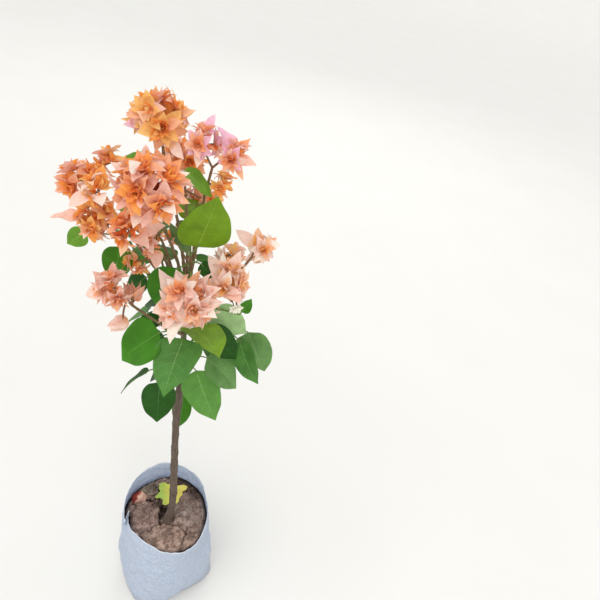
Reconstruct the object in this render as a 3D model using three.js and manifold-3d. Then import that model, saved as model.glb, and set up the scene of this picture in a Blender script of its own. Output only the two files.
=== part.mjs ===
// A young double-flowered bougainvillea bush in a woven grow bag.
// Millimetres, +Z up. The origin is the middle of the bag's flat underside.

import * as THREE from 'three';
import { mergeVertices } from 'three/addons/utils/BufferGeometryUtils.js';
import Module from 'manifold-3d';

const wasm = await Module();
wasm.setup();

// Clearances
const GAP = 0.3;
const NEAR = 0.35;
const SLIVER = 0.05;

// The bag: a round woven sack whose rim dips at the front and rises at the back
const BAG = {
  rimHeight: 184, rimRadius: 65, bellyRadius: 72.5, footRadius: 62.5, wall: 1.6, floor: 2,
  frontBack: 1.05, sides: 32,
};

// The rim's rise and its outline as waves: size, how many times round, start in radians
const RIM_RISE = [[15.6, 1, -0.13], [3.2, 2, -0.4], [6.4, 3, 1.8]];
const RIM_OUTLINE = [[-1.9, 2, 0.14], [2.7, 3, -1.26]];
const RIM_BACKWARDS = 3;
const RIM_FROM = 105;

// Where the sewn bottom pushes the foot out or holds it in: angle and spread in degrees, reach
const FOOT_PULLS = [
  { at: -17, out: 24, spread: 22 }, { at: -74, out: -9, spread: 20 },
  { at: -126, out: 11, spread: 24 }, { at: 155, out: 8, spread: 24 },
];
const FOOT_FADE = 42;

const SOIL_TOP = 165;
const SOIL_SLACK = 1.5;
const SOIL_SHOULDER = 140;
const SOIL_EDGE_DROP = 7;
const CLOD_RELIEF = 3.2;
const BRICK = { at: [-44, 33], long: 12, broad: 9, high: 6.5, skew: 2 };
const FALLEN_LEAF = { root: [-20, 34, 0], turn: 4, long: 53, wide: 40, fold: 0.16 };
const DROP_FROM = 20;

// The trunk stands a little forward of the bag's middle
const FOOT = new THREE.Vector3(4, -12, 0);
const TRUNK = {
  path: [[-4.5, 0, SOIL_TOP - 3], [1, 0, 205], [2, 0, 240], [0, 0, 340], [-1, 0, 430], [1, 1, 500],
    [0, 0, 636]],
  radii: [[0, 8.6], [0.025, 6.9], [0.07, 5.7], [0.3, 5.2], [0.47, 4.6], [0.55, 4.9], [0.6, 5.8],
    [0.66, 4.6], [0.85, 3.6], [1, 2.4]],
  sides: 10, steps: 18,
};

// Growth: what every bough, twig, bract and leaf is worked out from
const FIRST_SEED = 100;
const GOLDEN_TURN = 137.5;
const BOUGH = { foot: 2.2, tip: 1.4, sides: 5, steps: 5 };
const BOUGH_END = 0.97;
const STEM = { foot: 1.4, tip: 1.1, sides: 3, steps: 3 };
const STEM_END = 0.96;
const TWIG = { foot: 1.1, tip: 0.9, sides: 3, steps: 1 };
const STALK = { foot: 0.8, tip: 0.7, sides: 3, steps: 1 };
const CROWN_HEART = new THREE.Vector3(-5, 15, 690);
const HEAD = {
  floretReach: 14, core: 0.38, dome: 108, rootDepth: 0.2, rootSpread: 0.1, facingUp: 0.45,
  bractsEach: 4, bractLength: 0.8, bractWidth: 0.6, bractThick: 0.9, bractOpening: 30, loneOpening: 32,
};
const LEAF = { thick: 1, rows: [[0.2, 0.94], [0.62, 0.76]], fold: 0.08, bend: 0.05, sunk: 6, stalkRise: 20 };

// Boughs: the height where each leaves the trunk, a bend on its way, and its tip
const BOUGHS = {
  bough_top: { from: 632, bend: [-10, 8, 700], tip: [-27, 18, 772] },
  bough_main: { from: 626, bend: [-13, -10, 680], tip: [-31, -33, 736] },
  bough_top_right: { from: 618, bend: [9, 10, 690], tip: [11, 1, 746] },
  bough_shoot: { from: 612, bend: [3, -9, 636], tip: [2, -16, 670] },
  bough_left: { from: 612, bend: [-30, 4, 680], tip: [-68, -12, 724] },
  bough_left_inner: { from: 604, bend: [-20, -7, 648], tip: [-32, -14, 668] },
  bough_back_left: { from: 600, bend: [-26, 20, 680], tip: [-57, 24, 738] },
  bough_far_right: { from: 598, bend: [30, -2, 632], tip: [59, -5, 670] },
  bough_right: { from: 590, bend: [13, -16, 628], tip: [25, -33, 659] },
  bough_front: { from: 594, bend: [4, -24, 622], tip: [6, -42, 644] },
  bough_left_low: { from: 566, bend: [-30, -26, 610], tip: [-54, -42, 645] },
  bough_back_top: { from: 622, bend: [0, 24, 680], tip: [-3, 46, 722] },
  bough_back_mid: { from: 606, bend: [8, 36, 640], tip: [12, 66, 670] },
  bough_back_low: { from: 590, bend: [-16, 34, 612], tip: [-26, 66, 634] },
  bough_back_right: { from: 582, bend: [26, 26, 604], tip: [44, 46, 628] },
  bough_back_far: { from: 594, bend: [-36, 22, 634], tip: [-66, 44, 662] },
};

// Masses of leaves alone: each stem leaves a bough's tip, or the trunk at a height.
// A leaf is [place along the stem, turn, drop, stalk, length, width, roll, end of its twig if any].
const LEAFY = [
  { name: 'leaves_front', on: 'trunk', from: 582, stem: [[-1, -24, 604], [-2, -52, 617]],
    leaves: [[0.24, 178, 16, 25, 30, 28, 0], [0.5, -10, 49, 23, 56, 32, 58], [0.88, -178, 45, 26, 52, 50, -20],
      [0.54, -62, 0, 12, 52, 48, -18], [1, -113, 32, 9, 60, 50, 17]] },
  { name: 'leaves_low_left', on: 'trunk', from: 494, stem: [[-12, -12, 506], [-26, -15, 530]],
    leaves: [[0.87, -98, 64, 14, 50, 38, -1], [1, 194, 42, 11, 43, 24, 34]] },
  { name: 'leaves_low_right', on: 'trunk', from: 526, stem: [[8, -14, 538], [16, -22, 555]],
    leaves: [[0.34, -54, 52, 16, 66, 46, 58], [1, -16, 48, 10, 58, 41, 15]] },
  { name: 'leaves_right', on: 'trunk', from: 572, stem: [[30, -8, 570], [58, -2, 578]],
    leaves: [[0.62, -12, 58, 20, 44, 29, 92], [0.87, -58, 43, 20, 54, 36, 74],
      [1, -12, 65, 16, 67, 44, 90]] },
  { name: 'leaves_right_high', on: 'trunk', from: 586, stem: [[14, -6, 602], [26, -8, 614]],
    leaves: [[1, 10, -62, 4, 20, 14, 60, [56, -20, 614]], [1, -8, 40, 4, 52, 35, 82]] },
  { name: 'leaves_left', on: 'trunk', from: 566, stem: [[-22, 6, 612], [-40, 4, 650], [-56, -4, 692]],
    leaves: [[0.62, 154, 52, 4, 35, 23, -68], [1, -156, 80, 10, 39, 29, -56]] },
  { name: 'leaf_low_back', on: 'trunk', from: 440, stem: [[4, 12, 446]],
    leaves: [[1, 70, 94, 13, 62, 26, -14]] },
  { name: 'leaves_shoot', on: 'bough_shoot', stem: [[0, -21, 684], [-2, -24, 691]],
    heads: [{ at: [-15, -10, 700], reach: 9, along: 0.2 }],
    leaves: [[0.64, -26, 43, 10, 22, 17, 20], [0.5, -160, 74, 13, 54, 45, -48], [0.95, 165, -58, 5, 38, 18, 66],
      [1, -8, -75, 13, 57, 50, 108]] },
  { name: 'leaves_back', on: 'trunk', from: 574, stem: [[4, 30, 586], [2, 58, 592]],
    leaves: [[0.3, 20, 20, 14, 44, 34, 0], [0.55, 150, 30, 12, 48, 38, 0], [0.8, 45, 45, 12, 52, 42, 0],
      [1, 96, 55, 10, 56, 46, 0]] },
  { name: 'leaves_back_left', on: 'trunk', from: 548, stem: [[-18, 20, 558], [-34, 36, 564]],
    leaves: [[0.4, 196, 36, 8, 40, 30, 0], [0.7, 84, 44, 10, 50, 40, 0], [1, 140, 52, 10, 54, 43, 0]] },
  { name: 'leaves_back_right', on: 'trunk', from: 540, stem: [[20, 20, 550], [36, 34, 556]],
    leaves: [[0.4, -20, 48, 10, 44, 34, 0], [0.7, 96, 44, 10, 52, 42, 0], [1, 38, 52, 10, 56, 44, 0]] },
  { name: 'leaves_back_low', on: 'trunk', from: 500, stem: [[-2, 20, 510], [-4, 32, 516]],
    leaves: [[0.5, 170, 60, 12, 44, 34, 0], [1, 88, 62, 10, 50, 42, 0]] },
  { name: 'leaves_inner_back', on: 'trunk', from: 614, stem: [[4, 18, 646], [4, 40, 684]],
    leaves: [[0.5, 40, 20, 12, 36, 28, 0], [0.9, 10, 12, 10, 36, 28, 0], [1, 80, -8, 8, 42, 33, 0]] },
  { name: 'leaves_inner_left', on: 'trunk', from: 612, stem: [[-8, 26, 648], [-24, 48, 686]],
    leaves: [[0.6, 200, 10, 10, 36, 28, 0], [0.8, 120, 20, 12, 38, 30, 0], [1, 170, -6, 8, 40, 32, 0]] },
];

// Masses with blooms: each head has its place and its reach, and its twig's place along the stem
const FLOWERY = [
  { name: 'bloom_front', on: 'bough_front', stem: [[2, -56, 656]],
    heads: [{ at: [-6, -70, 672], reach: 31 }] },
  { name: 'bloom_main', on: 'bough_main', stem: [[-34, -42, 756]],
    heads: [{ at: [-38, -49, 771], reach: 33 }], leaves: [[0.9, -16, 38, 4, 34, 22, 10, [-15, -15, 774]]] },
  { name: 'bloom_top', on: 'bough_top', stem: [[-29, 19, 790]],
    heads: [{ at: [-30, 20, 800], reach: 31 }] },
  { name: 'bloom_top_right', on: 'bough_top_right', stem: [[14, -12, 778]],
    heads: [{ at: [4, -12, 797], reach: 20 }, { at: [30, -20, 792], reach: 17 },
      { at: [24, -16, 763], reach: 15, along: 0.4 }] },
  { name: 'bloom_left', on: 'bough_left', stem: [[-80, -14, 736], [-90, -10, 742]],
    heads: [{ at: [-96, 2, 748], reach: 22 }, { at: [-80, -27, 756], reach: 18, along: 0.7 },
      { at: [-82, -24, 727], reach: 22, along: 0.5 }] },
  { name: 'bloom_left_inner', on: 'bough_left_inner', stem: [[-40, -16, 682], [-48, -30, 704]],
    heads: [{ at: [-56, -42, 727], reach: 19 }, { at: [-49, -15, 678], reach: 15, along: 0.4 },
      { at: [-36, -34, 708], reach: 14, along: 0.6 }] },
  { name: 'bloom_back_left', on: 'bough_back_left', stem: [[-64, 23, 750]],
    heads: [{ at: [-71, 22, 760], reach: 17 }], leaves: [[0.5, 60, -30, 8, 28, 22, 0]] },
  { name: 'bloom_left_low', on: 'bough_left_low', stem: [[-61, -43, 656]],
    heads: [{ at: [-69, -46, 668], reach: 21 }, { at: [-53, -46, 658], reach: 12, along: 0.3 },
      { at: [-62, -54, 635], reach: 16, along: 0.7 }] },
  { name: 'bloom_right', on: 'bough_right', stem: [[29, -40, 670]],
    heads: [{ at: [33, -45, 677], reach: 24 }, { at: [42, -43, 650], reach: 10, along: 0.3 }] },
  { name: 'bloom_far_right', on: 'bough_far_right', stem: [[64, -5, 680]],
    heads: [{ at: [69, -4, 690], reach: 21 }] },
  { name: 'bloom_back_top', on: 'bough_back_top', stem: [[-4, 53, 736]],
    heads: [{ at: [-5, 58, 748], reach: 27 }, { at: [24, 46, 710], reach: 18, along: 0.3 }],
    leaves: [[0.6, 84, 30, 12, 40, 32, 0]] },
  { name: 'bloom_back_mid', on: 'bough_back_mid', stem: [[13, 76, 680]],
    heads: [{ at: [15, 86, 688], reach: 25 }],
    leaves: [[0.5, 30, 40, 12, 42, 34, 0], [0.5, 100, 66, 8, 44, 36, 0]] },
  { name: 'bloom_back_low', on: 'bough_back_low', stem: [[-29, 76, 642]],
    heads: [{ at: [-30, 88, 650], reach: 21 }, { at: [-48, 64, 714], reach: 22, along: 0.3 }],
    leaves: [[0.5, 176, 50, 10, 44, 35, 0], [0.6, 60, 60, 8, 40, 32, 0]] },
  { name: 'bloom_back_right', on: 'bough_back_right', stem: [[49, 52, 634]],
    heads: [{ at: [53, 58, 640], reach: 20 }],
    leaves: [[0.5, -10, 60, 8, 40, 32, 0], [0.5, 110, 50, 8, 44, 35, 0]] },
  { name: 'bloom_back_far', on: 'bough_back_far', stem: [[-74, 49, 670]],
    heads: [{ at: [-80, 52, 676], reach: 20 }],
    leaves: [[0.7, 174, 40, 30, 25, 22, -70], [0.6, 70, 40, 8, 44, 35, 0]] },
];

// Colours
const COLOURS = {
  bag: 0xc3d0e2, soil: 0x6e5348, brick: 0xa8664f, fallen: 0xb9c43a, trunk: 0x6f5a4e, bough: 0x7d6450,
  leaves: 0x3f7a2c, bloom: 0xee8a5e,
};

/** Repeatable random numbers from 0 to 1. */
function seeded(seed) {
  let state = seed >>> 0;
  return () => {
    state = (Math.imul(state, 1664525) + 1013904223) >>> 0;
    return state / 4294967296;
  };
}

const UP = new THREE.Vector3(0, 0, 1);
const vector = ([x, y, z]) => new THREE.Vector3(x, y, z);

/** The unit direction at a turn about the upright and a drop below level, in degrees. */
function aim(turn, drop) {
  const [t, d] = [THREE.MathUtils.degToRad(turn), THREE.MathUtils.degToRad(drop)];
  return new THREE.Vector3(Math.cos(t) * Math.cos(d), Math.sin(t) * Math.cos(d), -Math.sin(d));
}

/** The part of a vector that is square to a direction, as a unit vector. */
function squareTo(direction, vector) {
  const rest = vector.clone().addScaledVector(direction, -vector.dot(direction));
  return rest.lengthSq() > 1e-6 ? rest.normalize() : new THREE.Vector3(1, 0, 0).cross(direction).normalize();
}

/** A value read off a list of [place, value] steps. */
function between(steps, place) {
  const next = Math.max(1, steps.findIndex(([at]) => at >= place));
  const [[a, low], [b, high]] = [steps[next - 1], steps[next]];
  return THREE.MathUtils.mapLinear(place, a, b, low, high);
}

/** A closed geometry with each of its points moved by a function. */
function moved(geometry, move) {
  geometry.deleteAttribute('normal');
  geometry.deleteAttribute('uv');
  const merged = mergeVertices(geometry, 1e-5);
  const place = merged.attributes.position;
  const point = new THREE.Vector3();
  for (let i = 0; i < place.count; i += 1) {
    const to = move(point.fromBufferAttribute(place, i).clone());
    place.setXYZ(i, to.x, to.y, to.z);
  }
  return merged;
}

/** A closed geometry as a solid that can be joined and cut. */
function solid(geometry) {
  const vertProperties = Float32Array.from(geometry.attributes.position.array);
  const triVerts = Uint32Array.from(geometry.index.array);
  return new wasm.Manifold(new wasm.Mesh({ numProp: 3, vertProperties, triVerts }));
}

/** A solid's largest single body, with loose scraps and sealed hollows gone. */
function whole(body) {
  const parts = body.simplify(SLIVER).decompose();
  return parts.reduce((best, part) => (part.volume() > best.volume() ? part : best));
}

/** A tapering limb along a smooth curve through its points. */
function limb(points, radiusAt, { sides, steps }, grown = 0) {
  const curve = new THREE.CatmullRomCurve3(points);
  const frames = curve.computeFrenetFrames(steps);
  const bent = moved(new THREE.CylinderGeometry(1, 1, 1, sides, steps), (v) => {
    const step = Math.round((v.y + 0.5) * steps);
    const radius = radiusAt(step / steps) + grown;
    const end = step === 0 ? -grown : step === steps ? grown : 0;
    return curve.getPointAt(step / steps)
      .addScaledVector(frames.normals[step], v.x * radius)
      .addScaledVector(frames.binormals[step], -v.z * radius)
      .addScaledVector(frames.tangents[step], end);
  });
  return { solid: solid(bent), curve };
}

/** Radii that run evenly from a size's foot to its tip. */
const taper = (size) => (t) => THREE.MathUtils.lerp(size.foot, size.tip, t);

/** A thin pointed blade from its root, closed, thickest along its midrib. Three sides leave its top flat. */
function blade({ root, along, face, long, wide, thick, rows, fold, bend, sides = 4 }) {
  const side = along.clone().cross(face);
  const rings = rows.length + 1;
  const places = [0, ...rows.map(([at]) => at), 1];
  const widths = [0, ...rows.map(([, width]) => width), 0];
  return solid(moved(new THREE.SphereGeometry(1, sides, rings), (v) => {
    const ring = rings - Math.round((Math.acos(THREE.MathUtils.clamp(v.y, -1, 1)) / Math.PI) * rings);
    const round = Math.atan2(-v.z, -v.x);
    const across = Math.sign(Math.round(Math.sin(round) * 9)) * widths[ring] * wide * 0.5;
    const lift = -Math.cos(round) * thick * 0.5 + Math.abs(across) * fold - places[ring] ** 2 * bend * long;
    return root.clone()
      .addScaledVector(along, places[ring] * long)
      .addScaledVector(side, across)
      .addScaledVector(face, lift);
  }));
}

/** The sum of some waves round the bag at an angle. */
const waves = (list, angle) => list.reduce((sum, [size, times, start]) => (
  sum + size * Math.sin(times * angle + start)), 0);

/** How far the foot is pushed out or held in at an angle. */
const footPull = (angle) => FOOT_PULLS.reduce((sum, { at, out, spread }) => {
  const off = angle * THREE.MathUtils.RAD2DEG - at;
  const near = off - 360 * Math.round(off / 360);
  return sum + out * Math.exp(-((near / spread) ** 2));
}, 0);

/** The bag's shape: where a point at a radius, an angle and a height ends up. */
function sackPoint(radius, angle, height) {
  const up = THREE.MathUtils.smoothstep(height, RIM_FROM, BAG.rimHeight);
  const crease = 1.4 * Math.sin(4 * angle + height / 60) + 0.6 * Math.sin(7 * angle - height / 70);
  const loose = crease * (1 - up) + waves(RIM_OUTLINE, angle) * up;
  const share = radius / BAG.bellyRadius;
  const out = radius + loose * share ** 3 + footPull(angle) * Math.exp(-height / FOOT_FADE) * share;
  const back = out * Math.sin(angle) * BAG.frontBack + RIM_BACKWARDS * up * share;
  return new THREE.Vector3(out * Math.cos(angle), back, height + up * waves(RIM_RISE, angle));
}

/** The bag wall's outer radius at each height, from the floor's edge to the rim. */
const WALL_ROWS = [[BAG.footRadius, 0], [BAG.footRadius + 2, 4], [BAG.footRadius + 6, 24],
  [BAG.bellyRadius, 70], [BAG.bellyRadius - 3, 115], [BAG.bellyRadius - 5, 150],
  [BAG.rimRadius, BAG.rimHeight]];

/** The wall's outer radius at a height between two of its rows. */
function wallRadius(height) {
  return between(WALL_ROWS.map(([r, z]) => [z, r]), height);
}

/** A closed profile turned round the upright and then given the sack's shape. */
function sackTurned(profile, topPoint = sackPoint) {
  const points = profile.map(([r, z]) => new THREE.Vector2(r, z));
  return moved(new THREE.LatheGeometry(points, BAG.sides), (v) => (
    topPoint(Math.hypot(v.x, v.z), Math.atan2(v.x, v.z), v.y)));
}

/** The bag: one wall from rim to rim, with a floor, open at the top. */
function makeBag() {
  const inside = WALL_ROWS.slice(1).map(([r, z]) => [r - BAG.wall, z]).reverse();
  const floor = [[BAG.footRadius - 1, BAG.floor], [0, BAG.floor]];
  return solid(sackTurned([[0, 0], ...WALL_ROWS, ...inside, ...floor]));
}

/** Clods and cracks: the soil's height at a place between the trunk's foot and the bag. */
function soilRelief(outward, angle) {
  const open = THREE.MathUtils.smoothstep(outward, 0.18, 0.36);
  const lumps = Math.sin(3 * angle + 5 * outward) * Math.cos(2 * angle - 9 * outward);
  const clods = lumps + 0.5 * Math.sin(7 * angle);
  return CLOD_RELIEF * open * clods * (1 - outward ** 6) - SOIL_EDGE_DROP * outward ** 4;
}

/** The earth that fills the bag, with a flat spot for the trunk to stand on. */
function makeSoil() {
  const under = BAG.wall + SOIL_SLACK;
  const sides = WALL_ROWS.slice(1, -2).map(([r, z]) => [r - under, z]);
  const edge = wallRadius(SOIL_SHOULDER) - under;
  const rings = [0.95, 0.78, 0.6, 0.43, 0.28, 0.16, 0].map((outward) => [edge * outward, SOIL_TOP]);
  const bottom = [[0, BAG.floor + GAP], [BAG.footRadius - 1 - under, BAG.floor + GAP]];
  const trunkFoot = vector(TRUNK.path[0]).add(FOOT);
  const profile = [...bottom, ...sides, [edge, SOIL_SHOULDER], ...rings];
  return solid(sackTurned(profile, (radius, angle, height) => {
    if (height < SOIL_TOP - 1) return sackPoint(radius, angle, height);
    const outward = radius / edge;
    const side = sackPoint(edge, angle, SOIL_SHOULDER);
    const top = side.multiplyScalar(outward).addScaledVector(trunkFoot, 1 - outward);
    return top.setZ(SOIL_TOP + soilRelief(outward, angle));
  }));
}

/** Lowers a thing from above until it lies a gap clear of the ground under it. */
function lay(thing, ground, from) {
  const step = 0.2;
  let height = from;
  while (thing.translate([0, 0, height - step]).minGap(ground, 5) > GAP + 0.05) height -= step;
  return thing.translate([0, 0, height]);
}

/** A lump of brick among the clods, near the bag's left side. */
function makeBrick(soil) {
  const { at, long, broad, high, skew } = BRICK;
  const brick = solid(moved(new THREE.IcosahedronGeometry(1, 1), (v) => new THREE.Vector3(
    at[0] + long * v.x + skew * v.y, at[1] + broad * v.y - skew * v.z, high * v.z)));
  return lay(brick, soil, SOIL_TOP + DROP_FROM);
}

/** One yellowing leaf that lies on the soil behind the trunk. */
function makeFallenLeaf(soil) {
  const { root, turn, long, wide, fold } = FALLEN_LEAF;
  const dead = blade({
    ...LEAF, root: vector(root), along: aim(turn, 0), face: UP, long, wide, fold, bend: 0,
  });
  return lay(dead, soil, SOIL_TOP + DROP_FROM);
}

/** Named limbs, each with its solid, its curve and a grown copy that cuts what meets it. */
const limbs = {};

function addLimb(name, points, radiusAt, size) {
  const { solid: body, curve } = limb(points, radiusAt, size);
  const flatFooted = body.trimByPlane(UP.toArray(), SOIL_TOP + GAP);
  const cut = Object.values(limbs).reduce((rest, other) => rest.subtract(other.grown), flatFooted);
  limbs[name] = { solid: whole(cut), curve, grown: limb(points, radiusAt, size, GAP).solid };
}

/** The place on the trunk's axis at a height. */
function onTrunk(height) {
  const { curve } = limbs.trunk;
  let [low, high] = [0, 1];
  while (high - low > 1e-4) {
    const middle = (low + high) / 2;
    if (curve.getPointAt(middle).z < height) low = middle; else high = middle;
  }
  return curve.getPointAt(low);
}

/** What is already in place, which every twig, bract and leaf keeps clear of. */
const placed = [];

function isClear(body) {
  const { min, max } = body.boundingBox();
  return placed.every((other) => {
    const box = other.boundingBox();
    const apart = [0, 1, 2].some((k) => min[k] > box.max[k] + NEAR || max[k] < box.min[k] - NEAR);
    return apart || body.minGap(other, NEAR * 2) > NEAR;
  });
}

/** One bloom: a small core with florets round its dome, each a whorl of bracts. */
function bloomHead({ at, reach }, random) {
  const middle = vector(at);
  const facing = middle.clone().sub(CROWN_HEART).normalize().addScaledVector(UP, HEAD.facingUp).normalize();
  const sideways = squareTo(facing, new THREE.Vector3(0.3, 1, 0.2));
  const across = facing.clone().cross(sideways);
  const pieces = [solid(moved(new THREE.IcosahedronGeometry(1, 0), (v) => (
    v.multiplyScalar(HEAD.core * reach).add(middle))))];
  const florets = Math.ceil((reach / HEAD.floretReach) ** 2);
  for (let f = 0; f < florets; f += 1) {
    const tilt = Math.acos(1 - ((f + 0.35) / florets) * (1 - Math.cos(THREE.MathUtils.degToRad(HEAD.dome))));
    const turn = THREE.MathUtils.degToRad(GOLDEN_TURN * f) + random() * 0.6;
    const out = facing.clone().multiplyScalar(Math.cos(tilt))
      .addScaledVector(sideways, Math.sin(tilt) * Math.cos(turn))
      .addScaledVector(across, Math.sin(tilt) * Math.sin(turn));
    pieces.push(...floret(middle, out, reach, HEAD.bractOpening + HEAD.loneOpening / florets, random));
  }
  return pieces;
}

/** The bracts of one floret, opened round its own direction. */
function floret(middle, out, reach, open, random) {
  const start = random() * 360;
  const flat = squareTo(out, new THREE.Vector3(0.2, 0.1, 1));
  const other = out.clone().cross(flat);
  const bracts = [];
  for (let b = 0; b < HEAD.bractsEach; b += 1) {
    const turn = THREE.MathUtils.degToRad(start + (b * 360) / HEAD.bractsEach + random() * 20);
    const opening = THREE.MathUtils.degToRad(open + (random() - 0.5) * 16);
    const away = flat.clone().multiplyScalar(Math.cos(turn)).addScaledVector(other, Math.sin(turn));
    const along = out.clone().multiplyScalar(Math.cos(opening)).addScaledVector(away, Math.sin(opening));
    const long = HEAD.bractLength * reach * (0.86 + 0.14 * random());
    const root = middle.clone()
      .addScaledVector(out, HEAD.rootDepth * reach)
      .addScaledVector(away, HEAD.rootSpread * reach);
    bracts.push(blade({
      root, along, face: squareTo(along, out), long, wide: HEAD.bractWidth * long, thick: HEAD.bractThick,
      rows: [[0.42, 1]], fold: 0.12, bend: 0, sides: 3,
    }));
  }
  return bracts;
}

/** One leaf: a stalk from the stem and a blade whose midrib the stalk runs into. */
function leaf(node, [, turn, drop, stalk, long, wide, roll, twigEnd]) {
  const start = twigEnd ? vector(twigEnd) : node;
  const twig = twigEnd ? [limb([node, start], taper(TWIG), TWIG).solid] : [];
  const along = aim(turn, drop);
  const root = start.clone().addScaledVector(aim(turn, drop * 0.5 - LEAF.stalkRise), stalk);
  const face = squareTo(along, UP).applyAxisAngle(along, THREE.MathUtils.degToRad(roll));
  const sunk = root.clone().addScaledVector(along, LEAF.sunk);
  return [
    ...twig,
    limb([start, root, sunk], taper(STALK), { ...STALK, steps: 2 }).solid,
    blade({ ...LEAF, root, along, face, long, wide }),
  ];
}

/** One mass: its stem, the twigs with their blooms, and its leaves, joined into one body. */
function makeMass(mass, seed) {
  const random = seeded(seed);
  const limbTip = mass.on === 'trunk' ? onTrunk(mass.from) : limbs[mass.on].curve.getPointAt(BOUGH_END);
  const { solid: stem, curve } = limb([limbTip, ...mass.stem.map(vector)], taper(STEM), STEM);
  const pieces = [stem.subtract(limbs[mass.on].grown)];
  const add = (...group) => {
    if (group.every(isClear)) pieces.push(...group);
  };
  for (const head of mass.heads ?? []) {
    const start = curve.getPointAt(head.along ?? STEM_END);
    const twig = limb([start, vector(head.at)], taper(TWIG), TWIG).solid;
    const [core, ...bracts] = bloomHead(head, random);
    add(twig, core);
    bracts.forEach((bract) => add(bract));
  }
  (mass.leaves ?? []).forEach((row) => add(...leaf(curve.getPointAt(row[0]), row)));
  return whole(wasm.Manifold.union(pieces));
}

/** A solid as a named mesh with its own material. */
function mesh(name, body, color, roughness = 0.8) {
  const { vertProperties, triVerts } = body.getMesh();
  const geometry = new THREE.BufferGeometry();
  geometry.setAttribute('position', new THREE.BufferAttribute(Float32Array.from(vertProperties), 3));
  geometry.setIndex(new THREE.BufferAttribute(Uint32Array.from(triVerts), 1));
  geometry.computeVertexNormals();
  const made = new THREE.Mesh(geometry, new THREE.MeshStandardMaterial({ color, roughness, metalness: 0 }));
  made.name = name;
  return made;
}

const bush = new THREE.Group();
const plant = new THREE.Group();
plant.position.copy(FOOT);
bush.add(plant);

const soil = makeSoil();
bush.add(mesh('grow_bag', makeBag(), COLOURS.bag, 0.55));
bush.add(mesh('soil', soil, COLOURS.soil, 0.95));
bush.add(mesh('brick_clod', makeBrick(soil), COLOURS.brick, 0.9));
bush.add(mesh('fallen_leaf', makeFallenLeaf(soil), COLOURS.fallen, 0.6));

addLimb('trunk', TRUNK.path.map(vector), (t) => between(TRUNK.radii, t), TRUNK);
for (const [name, { from, bend, tip }] of Object.entries(BOUGHS)) {
  addLimb(name, [onTrunk(from), vector(bend), vector(tip)], taper(BOUGH), BOUGH);
}
for (const [name, { solid: body }] of Object.entries(limbs)) {
  placed.push(body);
  plant.add(mesh(name, body, name === 'trunk' ? COLOURS.trunk : COLOURS.bough, 0.85));
}
[...LEAFY, ...FLOWERY].forEach((mass, i) => {
  const body = makeMass(mass, FIRST_SEED + i);
  placed.push(body);
  plant.add(mesh(mass.name, body, mass.heads ? COLOURS.bloom : COLOURS.leaves, 0.6));
});

export default bush;
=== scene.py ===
"""A young double-flowered bougainvillea bush in a woven grow bag: its looks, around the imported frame.

Sizes in the tables are millimetres, +Z up, from the middle of the bag's flat underside.
"""

import math

import bmesh
import bpy
import numpy as np
from mathutils import Matrix, Vector


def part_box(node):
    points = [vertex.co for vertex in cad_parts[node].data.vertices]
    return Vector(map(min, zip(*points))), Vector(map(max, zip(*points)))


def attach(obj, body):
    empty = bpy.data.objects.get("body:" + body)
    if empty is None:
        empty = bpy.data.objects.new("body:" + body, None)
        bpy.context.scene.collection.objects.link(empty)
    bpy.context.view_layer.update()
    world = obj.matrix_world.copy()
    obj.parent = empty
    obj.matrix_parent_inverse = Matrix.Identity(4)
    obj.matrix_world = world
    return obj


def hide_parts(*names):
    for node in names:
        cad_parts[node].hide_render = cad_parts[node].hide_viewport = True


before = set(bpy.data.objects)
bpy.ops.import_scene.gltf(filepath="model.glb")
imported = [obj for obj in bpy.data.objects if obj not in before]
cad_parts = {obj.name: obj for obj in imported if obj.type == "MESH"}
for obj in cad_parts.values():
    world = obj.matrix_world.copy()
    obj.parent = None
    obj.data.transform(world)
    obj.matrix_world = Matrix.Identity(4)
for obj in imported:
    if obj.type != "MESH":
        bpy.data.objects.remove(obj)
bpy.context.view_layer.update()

MM = 0.001
UP = np.array([0.0, 0.0, 1.0])
TAU = 2 * math.pi

# Camera: the photograph's viewpoint
CAMERA_PLACE = (-0.04116, -0.44749, 0.96481)
CAMERA_TURN = 21.815
CAMERA_DROP = 36.413
CAMERA_ROLL = 13.631
CAMERA_LENS = 30.329
SENSOR = 36.0

# The bag and its soil
BAG_RIM_HEIGHT = 184.0
BAG_RIM_RADIUS = 65.0
BAG_BELLY_RADIUS = 72.5
BAG_FOOT_RADIUS = 62.5
BAG_FRONT_BACK = 1.05
BAG_CLOTH = 0.5
TAPE_WIDTH = 2.9
SOIL_TOP = 165.0

# The rim's rise and its outline as waves: size, how many times round, start in radians
RIM_RISE = [(15.6, 1, -0.13), (3.2, 2, -0.4), (6.4, 3, 1.8)]
RIM_OUTLINE = [(-1.9, 2, 0.14), (2.7, 3, -1.26)]
RIM_BACKWARDS = 3.0
RIM_FROM = 105.0

# Where the sewn bottom pushes the foot out or holds it in: angle in degrees, reach, spread
FOOT_PULLS = [(-17, 24, 22), (-74, -9, 20), (-126, 11, 24), (155, 8, 24)]
FOOT_FADE = 42.0

# The trunk stands a little forward of the bag's middle
FOOT = np.array([4.0, -12.0, 0.0])
TRUNK_PATH = [(-4.5, 0, 162), (1, 0, 205), (2, 0, 240), (0, 0, 340), (-1, 0, 430), (1, 1, 500), (0, 0, 636)]
TRUNK_RADII = [(0, 8.4), (0.025, 6.7), (0.07, 5.5), (0.3, 5.1), (0.47, 4.5), (0.55, 4.8), (0.6, 5.7),
               (0.66, 4.5), (0.85, 3.2), (1, 2.1)]

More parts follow.
